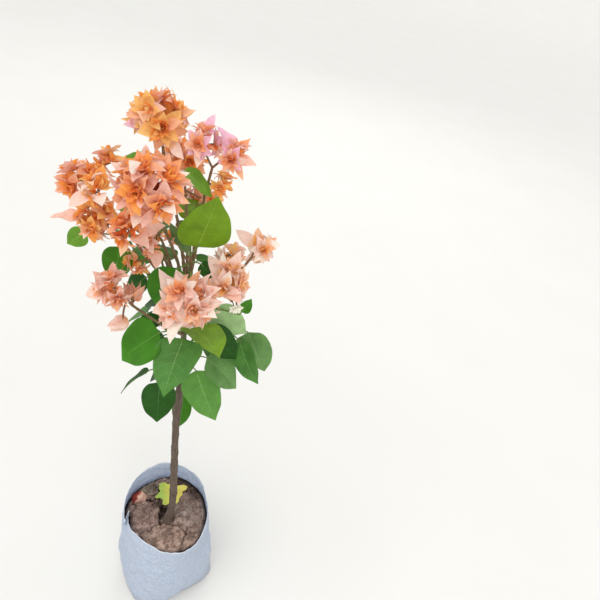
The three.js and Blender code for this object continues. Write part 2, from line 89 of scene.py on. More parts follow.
# Growth: what every bough, twig, bract and leaf is worked out from
GOLDEN_TURN = math.radians(137.5)
BOUGH_RADII = (1.75, 1.15)
BOUGH_END = 0.97
STEM_RADII = (1.4, 1.1)
STEM_END = 0.96
TWIG_RADII = (1.1, 0.8)
STALK_RADII = (0.8, 0.65)
CROWN_HEART = np.array([-5.0, 15.0, 690.0])
FLORET_REACH = 14.0
FLORETS_SHARE = 1.15
FILLERS_SHARE = 0.8
HEAD_DOME = math.radians(104)
FACING_UP = 0.15
STALK_RISE = 20
LEAF_SUNK = 6

# Boughs: the height where each leaves the trunk, a bend on its way, and its tip
BOUGHS = {
    "bough_top": (632, (-10, 8, 700), (-27, 18, 772)),
    "bough_main": (626, (-13, -10, 680), (-31, -33, 736)),
    "bough_top_right": (618, (9, 10, 690), (11, 1, 746)),
    "bough_shoot": (612, (3, -9, 636), (2, -16, 670)),
    "bough_left": (612, (-30, 4, 680), (-68, -12, 724)),
    "bough_left_inner": (604, (-20, -7, 648), (-32, -14, 668)),
    "bough_back_left": (600, (-26, 20, 680), (-57, 24, 738)),
    "bough_far_right": (598, (30, -2, 632), (59, -5, 670)),
    "bough_right": (590, (13, -16, 628), (25, -33, 659)),
    "bough_front": (594, (4, -24, 622), (6, -42, 644)),
    "bough_left_low": (566, (-30, -26, 610), (-54, -42, 645)),
    "bough_back_top": (622, (0, 24, 680), (-3, 46, 722)),
    "bough_back_mid": (606, (8, 36, 640), (12, 66, 670)),
    "bough_back_low": (590, (-16, 34, 612), (-26, 66, 634)),
    "bough_back_right": (582, (26, 26, 604), (44, 46, 628)),
    "bough_back_far": (594, (-36, 22, 634), (-66, 44, 662)),
}
GREEN_BOUGH = "bough_shoot"


def head(at, reach, mood, along=STEM_END, kind="double"):
    """One bloom: its middle, how far it reaches, its colours and its twig's place along the stem."""
    return {"at": np.array(at, float), "reach": reach, "mood": mood, "along": along, "kind": kind}


def leaf(place, turn, drop, stalk, long, wide, roll, tint, twig_end=None, **shape):
    """One leaf: where its stalk leaves the stem, which way it points, its size and its green."""
    return {"place": place, "turn": turn, "drop": drop, "stalk": stalk, "long": long, "wide": wide,
            "roll": roll, "tint": tint, "twig_end": twig_end, "shape": shape}


# Masses: the height on the trunk or the bough that each grows from, its stem, blooms and leaves
MASSES = {
    "leaves_front": (582, [(-1, -24, 604), (-2, -52, 617)], [], [
        leaf(0.24, 178, 16, 25, 30, 28, 0, "deep"),
        leaf(0.5, -10, 49, 23, 56, 32, 58, "deep"),
        leaf(0.88, -178, 45, 26, 52, 50, -20, "rich"),
        leaf(0.54, -62, 0, 12, 52, 48, -18, "lime", fold=0.2),
        leaf(1, -113, 32, 9, 60, 50, 17, "cool", base=0.27)]),
    "leaves_low_left": (494, [(-12, -12, 506), (-26, -15, 530)], [], [
        leaf(0.87, -98, 64, 14, 50, 38, -1, "deep"),
        leaf(1, 194, 42, 11, 43, 24, 34, "deep")]),
    "leaves_low_right": (526, [(8, -14, 538), (16, -22, 555)], [], [
        leaf(0.34, -54, 52, 16, 66, 46, 58, "pale"),
        leaf(1, -16, 48, 10, 58, 41, 15, "grey")]),
    "leaves_right": (572, [(30, -8, 570), (58, -2, 578)], [], [
        leaf(0.62, -12, 58, 20, 44, 29, 92, "misty"),
        leaf(0.87, -58, 43, 20, 54, 36, 74, "cool"),
        leaf(1, -12, 65, 16, 67, 44, 90, "grey")]),
    "leaves_right_high": (586, [(14, -6, 602), (26, -8, 614)], [], [
        leaf(1, 10, -62, 4, 20, 14, 60, "rich", (56, -20, 614)),
        leaf(1, -8, 40, 4, 52, 35, 82, "misty")]),
    "leaves_left": (566, [(-22, 6, 612), (-40, 4, 650), (-56, -4, 692)], [], [
        leaf(0.62, 154, 52, 4, 35, 23, -68, "deep"),
        leaf(1, -156, 80, 10, 39, 29, -56, "rich")]),
    "leaf_low_back": (440, [(4, 12, 446)], [], [
        leaf(1, 70, 94, 13, 62, 26, -14, "rich")]),
    "leaves_shoot": ("bough_shoot", [(0, -21, 684), (-2, -24, 691)],
                     [head((-15, -10, 700), 12, "coral", 0.2)], [
        leaf(0.64, -26, 43, 10, 22, 17, 20, "deep"),
        leaf(0.5, -160, 74, 13, 54, 45, -48, "rich", fold=0.3),
        leaf(0.95, 165, -58, 5, 38, 18, 66, "grey"),
        leaf(1, -8, -75, 13, 57, 50, 108, "bright")]),
    "leaves_back": (574, [(4, 30, 586), (2, 58, 592)], [], [
        leaf(0.3, 20, 20, 14, 44, 34, 0, "rich"),
        leaf(0.55, 150, 30, 12, 48, 38, 0, "deep"),
        leaf(0.8, 45, 45, 12, 52, 42, 0, "cool"),
        leaf(1, 96, 55, 10, 56, 46, 0, "rich")]),
    "leaves_back_left": (548, [(-18, 20, 558), (-34, 36, 564)], [], [
        leaf(0.4, 196, 36, 8, 40, 30, 0, "deep"),
        leaf(0.7, 84, 44, 10, 50, 40, 0, "rich"),
        leaf(1, 140, 52, 10, 54, 43, 0, "cool")]),
    "leaves_back_right": (540, [(20, 20, 550), (36, 34, 556)], [], [
        leaf(0.4, -20, 48, 10, 44, 34, 0, "cool"),
        leaf(0.7, 96, 44, 10, 52, 42, 0, "fresh"),
        leaf(1, 38, 52, 10, 56, 44, 0, "rich")]),
    "leaves_back_low": (500, [(-2, 20, 510), (-4, 32, 516)], [], [
        leaf(0.5, 170, 60, 12, 44, 34, 0, "deep"),
        leaf(1, 88, 62, 10, 50, 42, 0, "cool")]),
    "leaves_inner_back": (614, [(4, 18, 646), (4, 40, 684)], [], [
        leaf(0.5, 40, 20, 12, 36, 28, 0, "rich"),
        leaf(0.9, 10, 12, 10, 36, 28, 0, "fresh"),
        leaf(1, 80, -8, 8, 42, 33, 0, "bright")]),
    "leaves_inner_left": (612, [(-8, 26, 648), (-24, 48, 686)], [], [
        leaf(0.6, 200, 10, 10, 36, 28, 0, "rich"),
        leaf(0.8, 120, 20, 12, 38, 30, 0, "cool"),
        leaf(1, 170, -6, 8, 40, 32, 0, "fresh")]),
    "bloom_front": ("bough_front", [(2, -56, 656)], [head((-6, -70, 672), 31, "pale")], []),
    "bloom_main": ("bough_main", [(-34, -42, 756)], [head((-38, -49, 771), 33, "coral")], [
        leaf(0.9, -16, 38, 4, 34, 22, 10, "fresh", (-15, -15, 774))]),
    "bloom_top": ("bough_top", [(-29, 19, 790)], [head((-30, 20, 800), 31, "orange")], []),
    "bloom_top_right": ("bough_top_right", [(14, -12, 778)], [
        head((4, -12, 797), 20, "rosy"), head((30, -20, 792), 17, "rosy"),
        head((24, -16, 763), 15, "amber", 0.4)], []),
    "bloom_left": ("bough_left", [(-80, -14, 736), (-90, -10, 742)], [
        head((-96, 2, 748), 22, "coral"), head((-80, -27, 756), 18, "amber", 0.7),
        head((-82, -24, 727), 22, "orange", 0.5)], []),
    "bloom_left_inner": ("bough_left_inner", [(-40, -16, 682), (-48, -30, 704)], [
        head((-56, -42, 727), 19, "fiery"), head((-49, -15, 678), 15, "orange", 0.4),
        head((-36, -34, 708), 14, "rosy", 0.6)], []),
    "bloom_back_left": ("bough_back_left", [(-64, 23, 750)], [head((-71, 22, 760), 17, "orange")], [
        leaf(0.5, 60, -30, 8, 28, 22, 0, "fresh")]),
    "bloom_left_low": ("bough_left_low", [(-61, -43, 656)], [
        head((-69, -46, 668), 21, "blush"), head((-53, -46, 658), 16, "budding", 0.3, "buds"),
        head((-62, -54, 635), 18, "pale", 0.7, "lone")], []),
    "bloom_right": ("bough_right", [(29, -40, 670)], [
        head((33, -45, 677), 24, "peach"), head((42, -43, 650), 12, "pale", 0.3, "flowers")], []),
    "bloom_far_right": ("bough_far_right", [(64, -5, 680)], [head((69, -4, 690), 21, "peach")], []),
    "bloom_back_top": ("bough_back_top", [(-4, 53, 736)], [
        head((-5, 58, 748), 27, "coral"), head((24, 46, 710), 18, "orange", 0.3)], [
        leaf(0.6, 84, 30, 12, 40, 32, 0, "rich")]),
    "bloom_back_mid": ("bough_back_mid", [(13, 76, 680)], [head((15, 86, 688), 25, "blush")], [
        leaf(0.5, 30, 40, 12, 42, 34, 0, "fresh"), leaf(0.5, 100, 66, 8, 44, 36, 0, "rich")]),
    "bloom_back_low": ("bough_back_low", [(-29, 76, 642)], [
        head((-30, 88, 650), 21, "orange"), head((-48, 64, 714), 22, "coral", 0.3)], [
        leaf(0.5, 176, 50, 10, 44, 35, 0, "cool"), leaf(0.6, 60, 60, 8, 40, 32, 0, "rich")]),
    "bloom_back_right": ("bough_back_right", [(49, 52, 634)], [head((53, 58, 640), 20, "peach")], [
        leaf(0.5, -10, 60, 8, 40, 32, 0, "rich"), leaf(0.5, 110, 50, 8, 44, 35, 0, "cool")]),
    "bloom_back_far": ("bough_back_far", [(-74, 49, 670)], [head((-80, 52, 676), 20, "blush")], [
        leaf(0.7, 174, 40, 30, 25, 22, -70, "fresh"), leaf(0.6, 70, 40, 8, 44, 35, 0, "rich")]),
}

# Bract colours on the 0 to 255 scale, each with the colours that a bract's base and tip take
BRACT_TINTS = {
    "deep": ((243, 134, 60), "deep", "orange"),
    "orange": ((253, 174, 90), "deep", "amber"),
    "amber": ((253, 202, 124), "orange", "peach"),
    "coral": ((249, 174, 122), "orange", "salmon"),
    "salmon": ((250, 190, 150), "coral", "pink"),
    "peach": ((251, 206, 170), "amber", "pale"),
    "pink": ((249, 202, 184), "salmon", "pale"),
    "lilac": ((245, 196, 216), "pink", "pale"),
    "pale": ((251, 220, 206), "peach", "cream"),
    "cream": ((255, 241, 228), "pale", "cream"),
    "dusty": ((240, 198, 176), "dusty", "salmon"),
    "white": ((255, 253, 240), "cream", "white"),
}

# What each bloom's outer, middle, inner and innermost bracts take their colours from
MOODS = {
    "coral": ("pink salmon pink pale", "salmon coral orange", "orange coral orange", "orange deep amber"),
    "orange": ("salmon peach amber pink", "salmon orange amber", "orange amber", "orange deep amber"),
    "fiery": ("salmon coral peach", "coral orange", "orange deep coral", "deep orange"),
    "amber": ("amber peach cream", "amber orange", "amber orange", "amber orange"),
    "rosy": ("lilac pink lilac pale", "pink coral salmon", "coral deep salmon", "deep orange"),
    "blush": ("pink pale pink", "salmon pink pale", "coral salmon", "deep coral orange"),
    "peach": ("pale peach pale cream", "peach pale salmon", "peach amber", "orange amber"),
    "pale": ("pale cream pale pink", "pale pink salmon", "salmon peach coral", "orange coral salmon"),
    "budding": ("dusty", "dusty dusty salmon", "dusty", "dusty"),
}
MOODS = {name: [tints.split() for tints in lists] for name, lists in MOODS.items()}

# Large single bracts that stand out of a bloom: the way they point as the camera sees it
# (right, up, near), length, width, colour and the share of the bloom's reach where they start
ACCENTS = {
    ("bloom_top", 0): [
        ((0.1, 1, 0.1), 25, 15, "pink", 0.25), ((-1, -0.15, 0.3), 24, 13, "lilac", 0.25),
        ((-1, 0.08, 0.1), 27, 7, "amber", 0.25), ((-0.85, 0.5, 0.1), 23, 12, "amber", 0.25),
        ((1, 0.3, 0.1), 26, 8, "peach", 0.3), ((0.55, -0.83, 0.3), 21, 12, "pale", 0.75)],
    ("bloom_top_right", 0): [
        ((0.1, 1, 0.1), 17, 11, "pink", 0.2), ((0.45, 0.9, 0.2), 24, 12, "lilac", 0.2),
        ((-0.15, -1, 0.35), 20, 11, "pale", 0.2)],
    ("bloom_top_right", 1): [
        ((-0.5, 0.87, 0.4), 25, 17, "lilac", 0.25), ((0.4, -1, 0.1), 20, 7, "salmon", 0.2),
        ((1, -0.4, 0.1), 19, 10, "pink", 0.2), ((0.7, 0.7, 0.1), 17, 9, "coral", 0.3)],
    ("bloom_main", 0): [
        ((-0.12, 0.3, 1), 14, 11, "cream", 0.86), ((0, -0.6, 0.8), 15, 10, "pink", 0.6),
        ((-0.75, -0.65, 0.45), 21, 16, "pink", 0.42), ((-0.35, -1, 0.3), 20, 12, "pale", 0.5),
        ((-0.1, -1, 0.4), 20, 13, "pink", 0.5), ((0.4, -1, 0.35), 17, 9, "pale", 0.5),
        ((0.7, -0.7, 0.4), 21, 13, "cream", 0.45), ((1, -0.4, 0.2), 20, 11, "salmon", 0.5),
        ((1, 0.38, 0.1), 18, 9, "cream", 0.5), ((-0.1, 1, 0.1), 19, 13, "pink", 0.5),
        ((-0.85, 0.55, 0.1), 20, 10, "pale", 0.55), ((-1, 0.12, 0.2), 17, 8, "amber", 0.4),
        ((0.5, 0.9, 0.1), 16, 11, "salmon", 0.5)],
    ("bloom_left", 0): [((-0.9, -0.5, 0.35), 17, 14, "pink", 0.3), ((-1, 0.15, 0.1), 17, 9, "coral", 0.3)],
    ("bloom_left", 1): [
        ((0.4, -0.9, 0.5), 15, 13, "cream", 0.25), ((-0.75, -0.7, 0.5), 24, 14, "pale", 0.3),
        ((0.3, 1, 0.2), 17, 12, "orange", 0.2)],
    ("bloom_left", 2): [((-1, -0.02, 0.2), 31, 12, "pink", 0.4), ((-0.4, -0.9, 0.4), 14, 8, "pale", 0.4)],
    ("bloom_left_inner", 0): [
        ((1, 0.1, 0.2), 26, 16, "pink", 0.45), ((0.75, -0.6, 0.35), 20, 14, "pink", 0.45),
        ((-0.2, -1, 0.3), 17, 8, "peach", 0.4)],
    ("bloom_left_inner", 2): [((0.2, -1, 0.2), 19, 15, "pink", 0.3)],
    ("bloom_front", 0): [
        ((-0.62, 0.78, 0.2), 28, 19, "pale", 0.35), ((-0.3, 0.95, 0.1), 20, 16, "pale", 0.35),
        ((0.42, 0.9, 0.1), 21, 12, "salmon", 0.35), ((0.65, 0.72, 0.1), 22, 11, "pale", 0.4),
        ((0.95, 0.35, 0.2), 25, 15, "pale", 0.35), ((1, 0, 0.2), 24, 14, "pale", 0.4),
        ((0.85, -0.42, 0.35), 23, 14, "cream", 0.4), ((-0.8, -0.3, 0.6), 19, 17, "pale", 0.5),
        ((-0.3, -1, 0.45), 29, 14, "cream", 0.45), ((-0.65, -0.8, 0.45), 18, 9, "pale", 0.55)],
    ("bloom_left_low", 0): [
        ((-1, -0.3, 0.3), 22, 18, "pale", 0.2), ((0, 1, 0.1), 19, 10, "pink", 0.3),
        ((0.25, -1, 0.3), 18, 9, "salmon", 0.3), ((-0.7, 0.6, 0.2), 18, 12, "pink", 0.3)],
    ("bloom_right", 0): [
        ((-0.6, 0.85, 0.1), 27, 15, "pale", 0.2), ((-0.12, 1, 0.1), 25, 9, "cream", 0.2),
        ((0.42, 0.9, 0.1), 28, 14, "pale", 0.2), ((0.5, -0.75, 0.45), 25, 17, "pink", 0.2),
        ((-0.9, -0.2, 0.3), 20, 12, "pale", 0.3)],
    ("bloom_far_right", 0): [
        ((-0.8, 0.65, 0.1), 26, 14, "pale", 0.2), ((0, 1, 0.1), 15, 10, "peach", 0.3),
        ((1, 0.1, 0.15), 21, 14, "cream", 0.2), ((0.6, -0.7, 0.3), 17, 11, "pale", 0.2)],
}

# Greens of the leaves, and the paler green of their veins
LEAF_TINTS = {
    "bright": ((120, 160, 28), (154, 188, 72)),
    "fresh": ((112, 162, 50), (138, 180, 80)),
    "rich": ((70, 138, 26), (100, 158, 60)),
    "deep": ((34, 88, 12), (68, 116, 44)),
    "cool": ((84, 140, 60), (128, 172, 100)),
    "grey": ((118, 164, 92), (142, 180, 116)),
    "pale": ((104, 162, 70), (144, 190, 108)),
    "lime": ((134, 178, 48), (160, 196, 82)),
    "misty": ((178, 214, 148), (194, 222, 164)),
}


# Vectors and curves

SIDEWAYS = np.array([0.3, 1.0, 0.2])
FLAT = np.array([0.2, 0.1, 1.0])


def unit(vector):
    return vector / np.linalg.norm(vector, axis=-1, keepdims=True)


def points_at(*parts):
    """Points from their coordinates, each a number or an array."""
    return np.stack(np.broadcast_arrays(*parts), axis=-1)


def round_about(sides):
    """Even angles all the way round, as a row."""
    return np.linspace(0, TAU, sides, endpoint=False)[None]


def smoothstep(value, low, high):
    share = np.clip((value - low) / (high - low), 0, 1)
    return share * share * (3 - 2 * share)


def bumps(rows, angle):
    """The sum of some bumps round a circle: each has its angle in degrees, its size and its spread."""
    total = 0
    for at, size, spread in rows:
        off = (np.degrees(angle) - at + 180) % 360 - 180
        total = total + size * np.exp(-((off / spread) ** 2))
    return total


def aim(turn, drop):
    """The unit direction at a turn about the upright and a drop below level, in degrees."""
    t, d = math.radians(turn), math.radians(drop)
    return np.array([math.cos(t) * math.cos(d), math.sin(t) * math.cos(d), -math.sin(d)])


def camera_pose():
    """The camera's place and turn, as a matrix in metres."""
    turn, drop, roll = (math.radians(angle) for angle in (CAMERA_TURN, CAMERA_DROP, CAMERA_ROLL))
    upright = Matrix.Rotation(-turn, 4, "Z") @ Matrix.Rotation(math.pi / 2 - drop, 4, "X")
    return Matrix.Translation(CAMERA_PLACE) @ upright @ Matrix.Rotation(roll, 4, "Z")


def seen(right, up, near):
    """The unit direction that points right, up and near as the camera sees it."""
    return unit(np.array(camera_pose().to_3x3()) @ np.array([right, up, near], float))


def square_to(direction, vector):
    """The part of a vector that is square to a direction, as a unit vector."""
    rest = vector - direction * (vector @ direction)
    return unit(rest if rest @ rest > 1e-6 else np.cross([1.0, 0.0, 0.0], direction))


def turned(vector, axis, angle):
    """A vector turned about an axis by an angle in radians."""
    return (vector * math.cos(angle) + np.cross(axis, vector) * math.sin(angle)
            + axis * (axis @ vector) * (1 - math.cos(angle)))


def ripple(seed, points, size, layers):
    """A smooth random field over points, from about -1 to 1, with bumps about size wide."""
    random = np.random.default_rng(seed)
    field = np.zeros(points.shape[:-1])
    for layer in range(layers):
        for _ in range(9):
            wave = unit(random.normal(size=points.shape[-1])) * TAU * 2 ** layer / size
            wave = wave * random.uniform(0.5, 1.3)
            field += np.sin(points @ wave + random.uniform(0, TAU)) * 0.36 / 2 ** layer
    return field


class Curve:
    """A smooth curve through its points, the same as the source's, read by the share of its length."""

    STEPS = 40

    def __init__(self, points):
        points = [np.array(p, float) for p in points]
        ends = [2 * points[0] - points[1], *points, 2 * points[-1] - points[-2]]
        dense = [points[0][None]]
        for p0, p1, p2, p3 in zip(ends, ends[1:], ends[2:], ends[3:]):
            d0, d1, d2 = (np.linalg.norm(b - a) ** 0.5 for a, b in ((p0, p1), (p1, p2), (p2, p3)))
            out = ((p1 - p0) / d0 - (p2 - p0) / (d0 + d1) + (p2 - p1) / d1) * d1
            into = ((p2 - p1) / d1 - (p3 - p1) / (d1 + d2) + (p3 - p2) / d2) * d1
            t = np.linspace(0, 1, self.STEPS + 1)[1:, None]
            cubic = (2 * p1 - 2 * p2 + out + into) * t ** 3 + (3 * p2 - 3 * p1 - 2 * out - into) * t ** 2
            dense.append(cubic + out * t + p1)
        self.dense = np.vstack(dense)
        run = np.concatenate([[0], np.cumsum(np.linalg.norm(np.diff(self.dense, axis=0), axis=1))])
        self.length = run[-1]
        self.shares = run / run[-1]

    def at(self, share):
        return np.stack([np.interp(share, self.shares, self.dense[:, k]) for k in range(3)], axis=-1)

    def heading(self, share):
        return unit(self.at(np.clip(share + 0.01, 0, 1)) - self.at(np.clip(share - 0.01, 0, 1)))


# Things in the scene

def put_in_scene(name, data, pose=Matrix()):
    """A new object of some data at a pose."""
    made = bpy.data.objects.new(name, data)
    made.matrix_world = pose
    bpy.context.scene.collection.objects.link(made)
    return made


def new_mesh(name, points, faces, material, smooth=True):
    """A mesh of one material from its points and its faces."""
    mesh = bpy.data.meshes.new(name)
    mesh.from_pydata(points.reshape(-1, 3).tolist(), [], faces)
    mesh.validate()
    mesh.polygons.foreach_set("use_smooth", np.full(len(mesh.polygons), smooth))
    mesh.materials.append(material)
    return mesh


def node_box(node):
    """The low and high corners of one of the solids, in millimetres."""
    return (np.array(corner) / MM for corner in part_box(node))


# Gathering many small shapes into one mesh

def grid_faces(rows, columns, closed=False):
    """The four-sided faces of a grid of points, row by row."""
    across = columns if closed else columns - 1
    row, column = np.meshgrid(np.arange(rows - 1), np.arange(across), indexing="ij")
    near, beside = row * columns + column, row * columns + (column + 1) % columns
    return np.stack([near, beside, beside + columns, near + columns], axis=-1).reshape(-1, 4)


class Heap:
    """Many small shapes from arrays, joined into one mesh. Points are millimetres."""

    def __init__(self):
        self.points, self.quads, self.triangles, self.spots, self.count = [], [], [], [], 0

    def add(self, points, quads=None, triangles=None, spots=None):
        """Some points, with the faces between them and their places on the cloth."""
        for faces, kept in ((quads, self.quads), (triangles, self.triangles)):
            if faces is not None and len(faces):
                kept.append(np.asarray(faces) + self.count)
        self.points.append(points)
        if spots is not None:
            self.spots.append(spots)
        self.count += len(points)

    def add_sheets(self, sheets, flip=False):
        """Sheets of points, n by rows by columns, each as its own small surface."""
        n, rows, columns = sheets.shape[:3]
        faces = grid_faces(rows, columns)
        faces = faces[:, ::-1] if flip else faces
        starts = np.arange(n)[:, None, None] * rows * columns
        self.add(sheets.reshape(-1, 3), (faces[None] + starts).reshape(-1, 4))

    def add_tube(self, rings):
        """A closed tube from its rings of points, with both ends capped."""
        rows, sides = rings.shape[:2]
        flat = rings.reshape(-1, 3)
        caps = np.stack([rings[0].mean(0), rings[-1].mean(0)])
        side = np.arange(sides)
        after = (side + 1) % sides
        foot = np.stack([after, side, np.full(sides, len(flat))], axis=-1)
        last = (rows - 1) * sides
        tip = np.stack([last + side, last + after, np.full(sides, len(flat) + 1)], axis=-1)
        self.add(np.vstack([flat, caps]), grid_faces(rows, sides, closed=True), np.vstack([foot, tip]))

    def piece(self, name, material, slot, *nodes, smooth=True):
        """The finished piece in metres, riding on the plant's one body."""
        faces = [face for kept in (self.quads, self.triangles) for block in kept for face in block.tolist()]
        mesh = new_mesh(name, np.vstack(self.points) * MM, faces, material, smooth)
        if self.spots:
            layer = mesh.uv_layers.new(name="cloth")
            layer.data.foreach_set("uv", np.vstack(self.spots)[np.ravel(faces)].astype(np.float32).ravel())
        made = put_in_scene(name, mesh)
        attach(made, "root")
        if nodes:
            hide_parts(*nodes)


# Materials

BLACK, WHITE = (0, 0, 0), (255, 255, 255)


def linear(colour, strength=1.0):
    """A colour on the 0 to 255 scale as the shader takes it."""
    values = [(c / 255 / 12.92 if c < 11 else ((c / 255 + 0.055) / 1.055) ** 2.4) * strength for c in colour]
    return (*values, 1.0)


class Look:
    """One material while its nodes are being joined up."""

    def __init__(self, name, roughness=0.6, specular=0.4, sheen=0.0, space="Object"):
        self.material = bpy.data.materials.new(name)
        self.material.use_nodes = True
        self.nodes, self.links = self.material.node_tree.nodes, self.material.node_tree.links
        self.shader = self.nodes["Principled BSDF"]
        self.shader.inputs["Roughness"].default_value = roughness
        self.shader.inputs["Specular IOR Level"].default_value = specular
        self.shader.inputs["Sheen Weight"].default_value = sheen
        self.place = self.node("TexCoord").outputs[space]
        self.relief = {}

    def node(self, kind, values=(), **settings):
        """A new node, with its settings, and a socket or a plain value into each of its inputs."""
        made = self.nodes.new("ShaderNode" + kind)
        for key, value in settings.items():
            setattr(made, key, value)
        for key, value in dict(values).items():
            if isinstance(value, bpy.types.NodeSocket):
                self.links.new(value, made.inputs[key])
            else:
                made.inputs[key].default_value = value
        return made

    def math(self, operation, *values):
        return self.node("Math", dict(enumerate(values)), operation=operation).outputs[0]

    def stretched(self, scale):
        return self.node("Mapping", {"Vector": self.place, "Scale": scale}).outputs[0]

    def noise(self, scale, detail, roughness=0.55, place=None):
        values = {"Vector": place or self.place, "Scale": scale, "Detail": detail, "Roughness": roughness}
        return self.node("TexNoise", values).outputs["Fac"]

    def part(self, vector, axis):
        """One of the three parts of a vector."""
        return self.node("SeparateXYZ", {0: vector}).outputs[axis]

    def fade(self, value, start, end, low=0.0, high=1.0):
        """A value that goes evenly from low to high between its start and its end."""
        limits = {"Value": value, "From Min": start, "From Max": end, "To Min": low, "To Max": high}
        return self.node("MapRange", limits).outputs[0]

    def spots(self, factor, start, end, full=WHITE):
        """Where a factor is high: none at its start, all from its end."""
        return self.ramp(factor, (start, BLACK), (end, full))

    def ramp(self, factor, *stops):
        """Colours along a factor: each stop is a place from 0 to 1 and a colour."""
        made = self.node("ValToRGB", {"Fac": factor})
        band = made.color_ramp
        while len(band.elements) < len(stops):
            band.elements.new(0.5)
        for element, (at, colour) in zip(band.elements, stops):
            element.position = at
            element.color = colour if len(colour) == 4 else linear(colour)
        return made.outputs["Color"]

    def blend(self, factor, one, other, kind="MIX"):
        """A share of another colour mixed into one."""
        values = {0: factor, 6: one, 7: other}
        return self.node("Mix", values, data_type="RGBA", blend_type=kind).outputs[2]

    def cover(self, below, mask, share, colour):
        """A colour laid over another by a share of a mask."""
        return self.blend(self.math("MULTIPLY", mask, share), below, colour)

    def colour(self, value):
        self.links.new(value, self.shader.inputs["Base Color"])
        self.base = value

    def rough(self, factor, low, high):
        self.links.new(self.fade(factor, 0.0, 1.0, low, high), self.shader.inputs["Roughness"])

    def bump(self, height, distance, strength):
        """Relief from a height, laid over the relief so far."""
        values = {"Height": height, "Distance": distance, "Strength": strength}
        normal = self.node("Bump", values | self.relief).outputs[0]
        self.relief = {"Normal": normal}
        self.links.new(normal, self.shader.inputs["Normal"])

    def glow_through(self, share):
        """Lets some light pass through a thin sheet, in the sheet's own colour."""
        through = self.node("BsdfTranslucent", {"Color": self.base}).outputs[0]
        mixed = self.node("MixShader", {0: share, 1: self.shader.outputs[0], 2: through}).outputs[0]
        self.links.new(mixed, self.nodes["Material Output"].inputs["Surface"])


def petal_look(name, colour):
    """A papery bract: fine veins of light and dark, soft sheen, and light that comes through."""
    look = Look(name, roughness=0.62, specular=0.25, sheen=0.15)
    fine = look.noise(420, 4)
    mottled = look.blend(look.spots(fine, 0.35, 0.7), linear(colour, 0.86), linear(colour, 1.06))
    look.colour(look.cover(mottled, look.noise(90, 2), 0.35, linear(colour, 1.18)))
    look.bump(fine, 0.0004, 0.35)
    look.glow_through(0.32)
    return look.material


def leaf_look(name, colour, gloss=0.46, through=0.24):
    """A leaf blade: mottled green with a soft gloss."""
    look = Look(name, roughness=gloss, specular=0.28)
    fine = look.noise(900, 2)
    green = look.ramp(look.noise(70, 3), (0.3, linear(colour, 0.78)), (0.72, linear(colour, 1.22)))
    look.colour(look.cover(green, fine, 0.3, linear(colour, 1.35)))
    look.rough(fine, gloss - 0.08, gloss + 0.12)
    look.bump(fine, 0.00025, 0.4)
    look.glow_through(through)
    return look.material


def plain_look(name, colour, roughness=0.6, grain=600):
    """A small green or woody part: a little uneven all over."""
    look = Look(name, roughness=roughness, specular=0.35)
    spots = look.noise(grain, 3)
    look.colour(look.ramp(spots, (0.3, linear(colour, 0.72)), (0.72, linear(colour, 1.2))))
    look.bump(spots, 0.0003, 0.5)
    return look.material


def bark_look(name, dark, mid, light, grain):
    """Bark: long fissures, pale lenticels across them and patches of older grey."""
    look = Look(name, roughness=0.78, specular=0.25)
    fissures = look.noise(1, 5, 0.65, look.stretched((grain, grain, grain * 0.16)))
    body = look.ramp(fissures, (0.3, dark), (0.52, mid), (0.78, light))
    aged = look.cover(body, look.noise(55, 3), 0.55, linear(light, 0.9))
    corks = look.spots(look.noise(1, 2, 0.4, look.stretched((260, 260, 620))), 0.66, 0.72)
    look.colour(look.cover(aged, corks, 0.5, linear(light, 1.35)))
    look.rough(fissures, 0.68, 0.9)
    look.bump(fissures, 0.0012, 0.7)
    look.bump(corks, 0.0005, 0.5)
    return look.material


def weave_look(rim_at):
    """Woven plastic tapes: over and under, each crossing a little different, with painted shade where the
    tapes dip at their edges, pale at the cut rim.
    """
    look = Look("woven_cloth", roughness=0.46, specular=0.45, sheen=0.05, space="UV")
    across, along, _ = look.node("SeparateXYZ", {0: look.place}).outputs
    place = look.node("TexCoord").outputs["Object"]
    cells, ridges = [], []
    for value in (across, along):
        middle = look.math("MULTIPLY_ADD", look.math("FRACT", value), 2.0, -1.0)
        ridges.append(look.math("SUBTRACT", 1.0, look.math("POWER", look.math("ABSOLUTE", middle), 4.0)))
        cells.append(look.math("FLOOR", value))
    over = look.math("ABSOLUTE", look.math("MODULO", look.math("ADD", *cells), 2.0))
    height = look.node("Mix", {0: over, 2: ridges[0], 3: ridges[1]}).outputs[0]
    cell = look.node("CombineXYZ", {0: cells[0], 1: cells[1]}).outputs[0]
    shade = look.node("TexWhiteNoise", {"Vector": cell}, noise_dimensions="2D").outputs[0]
    cloth = look.ramp(shade, (0.0, (198, 213, 233)), (0.5, (208, 221, 237)), (1.0, (226, 234, 245)))
    cloth = look.cover(cloth, look.noise(24, 4, 0.6, place), 0.5, linear((226, 231, 246)))
    # Painted shade: the cloth is darkened where each tape dips at its edges, between the tapes.
    cloth = look.cover(cloth, look.math("SUBTRACT", 1.0, height), 0.34, linear((170, 186, 220)))
    off = look.math("ABSOLUTE", look.math("SUBTRACT", along, rim_at))
    cloth = look.cover(cloth, look.fade(off, 1.1, 0.5), 0.8, linear((244, 247, 252)))
    low = look.fade(look.part(place, 2), 0.03, 0.0, high=0.6)
    look.colour(look.cover(cloth, low, look.noise(60, 5, 0.7, place), linear((150, 134, 116))))
    look.rough(shade, 0.4, 0.56)
    look.bump(height, 0.0006, 0.5)
    look.bump(look.noise(160, 3, 0.5, place), 0.0008, 0.3)
    look.glow_through(0.34)
    return look.material


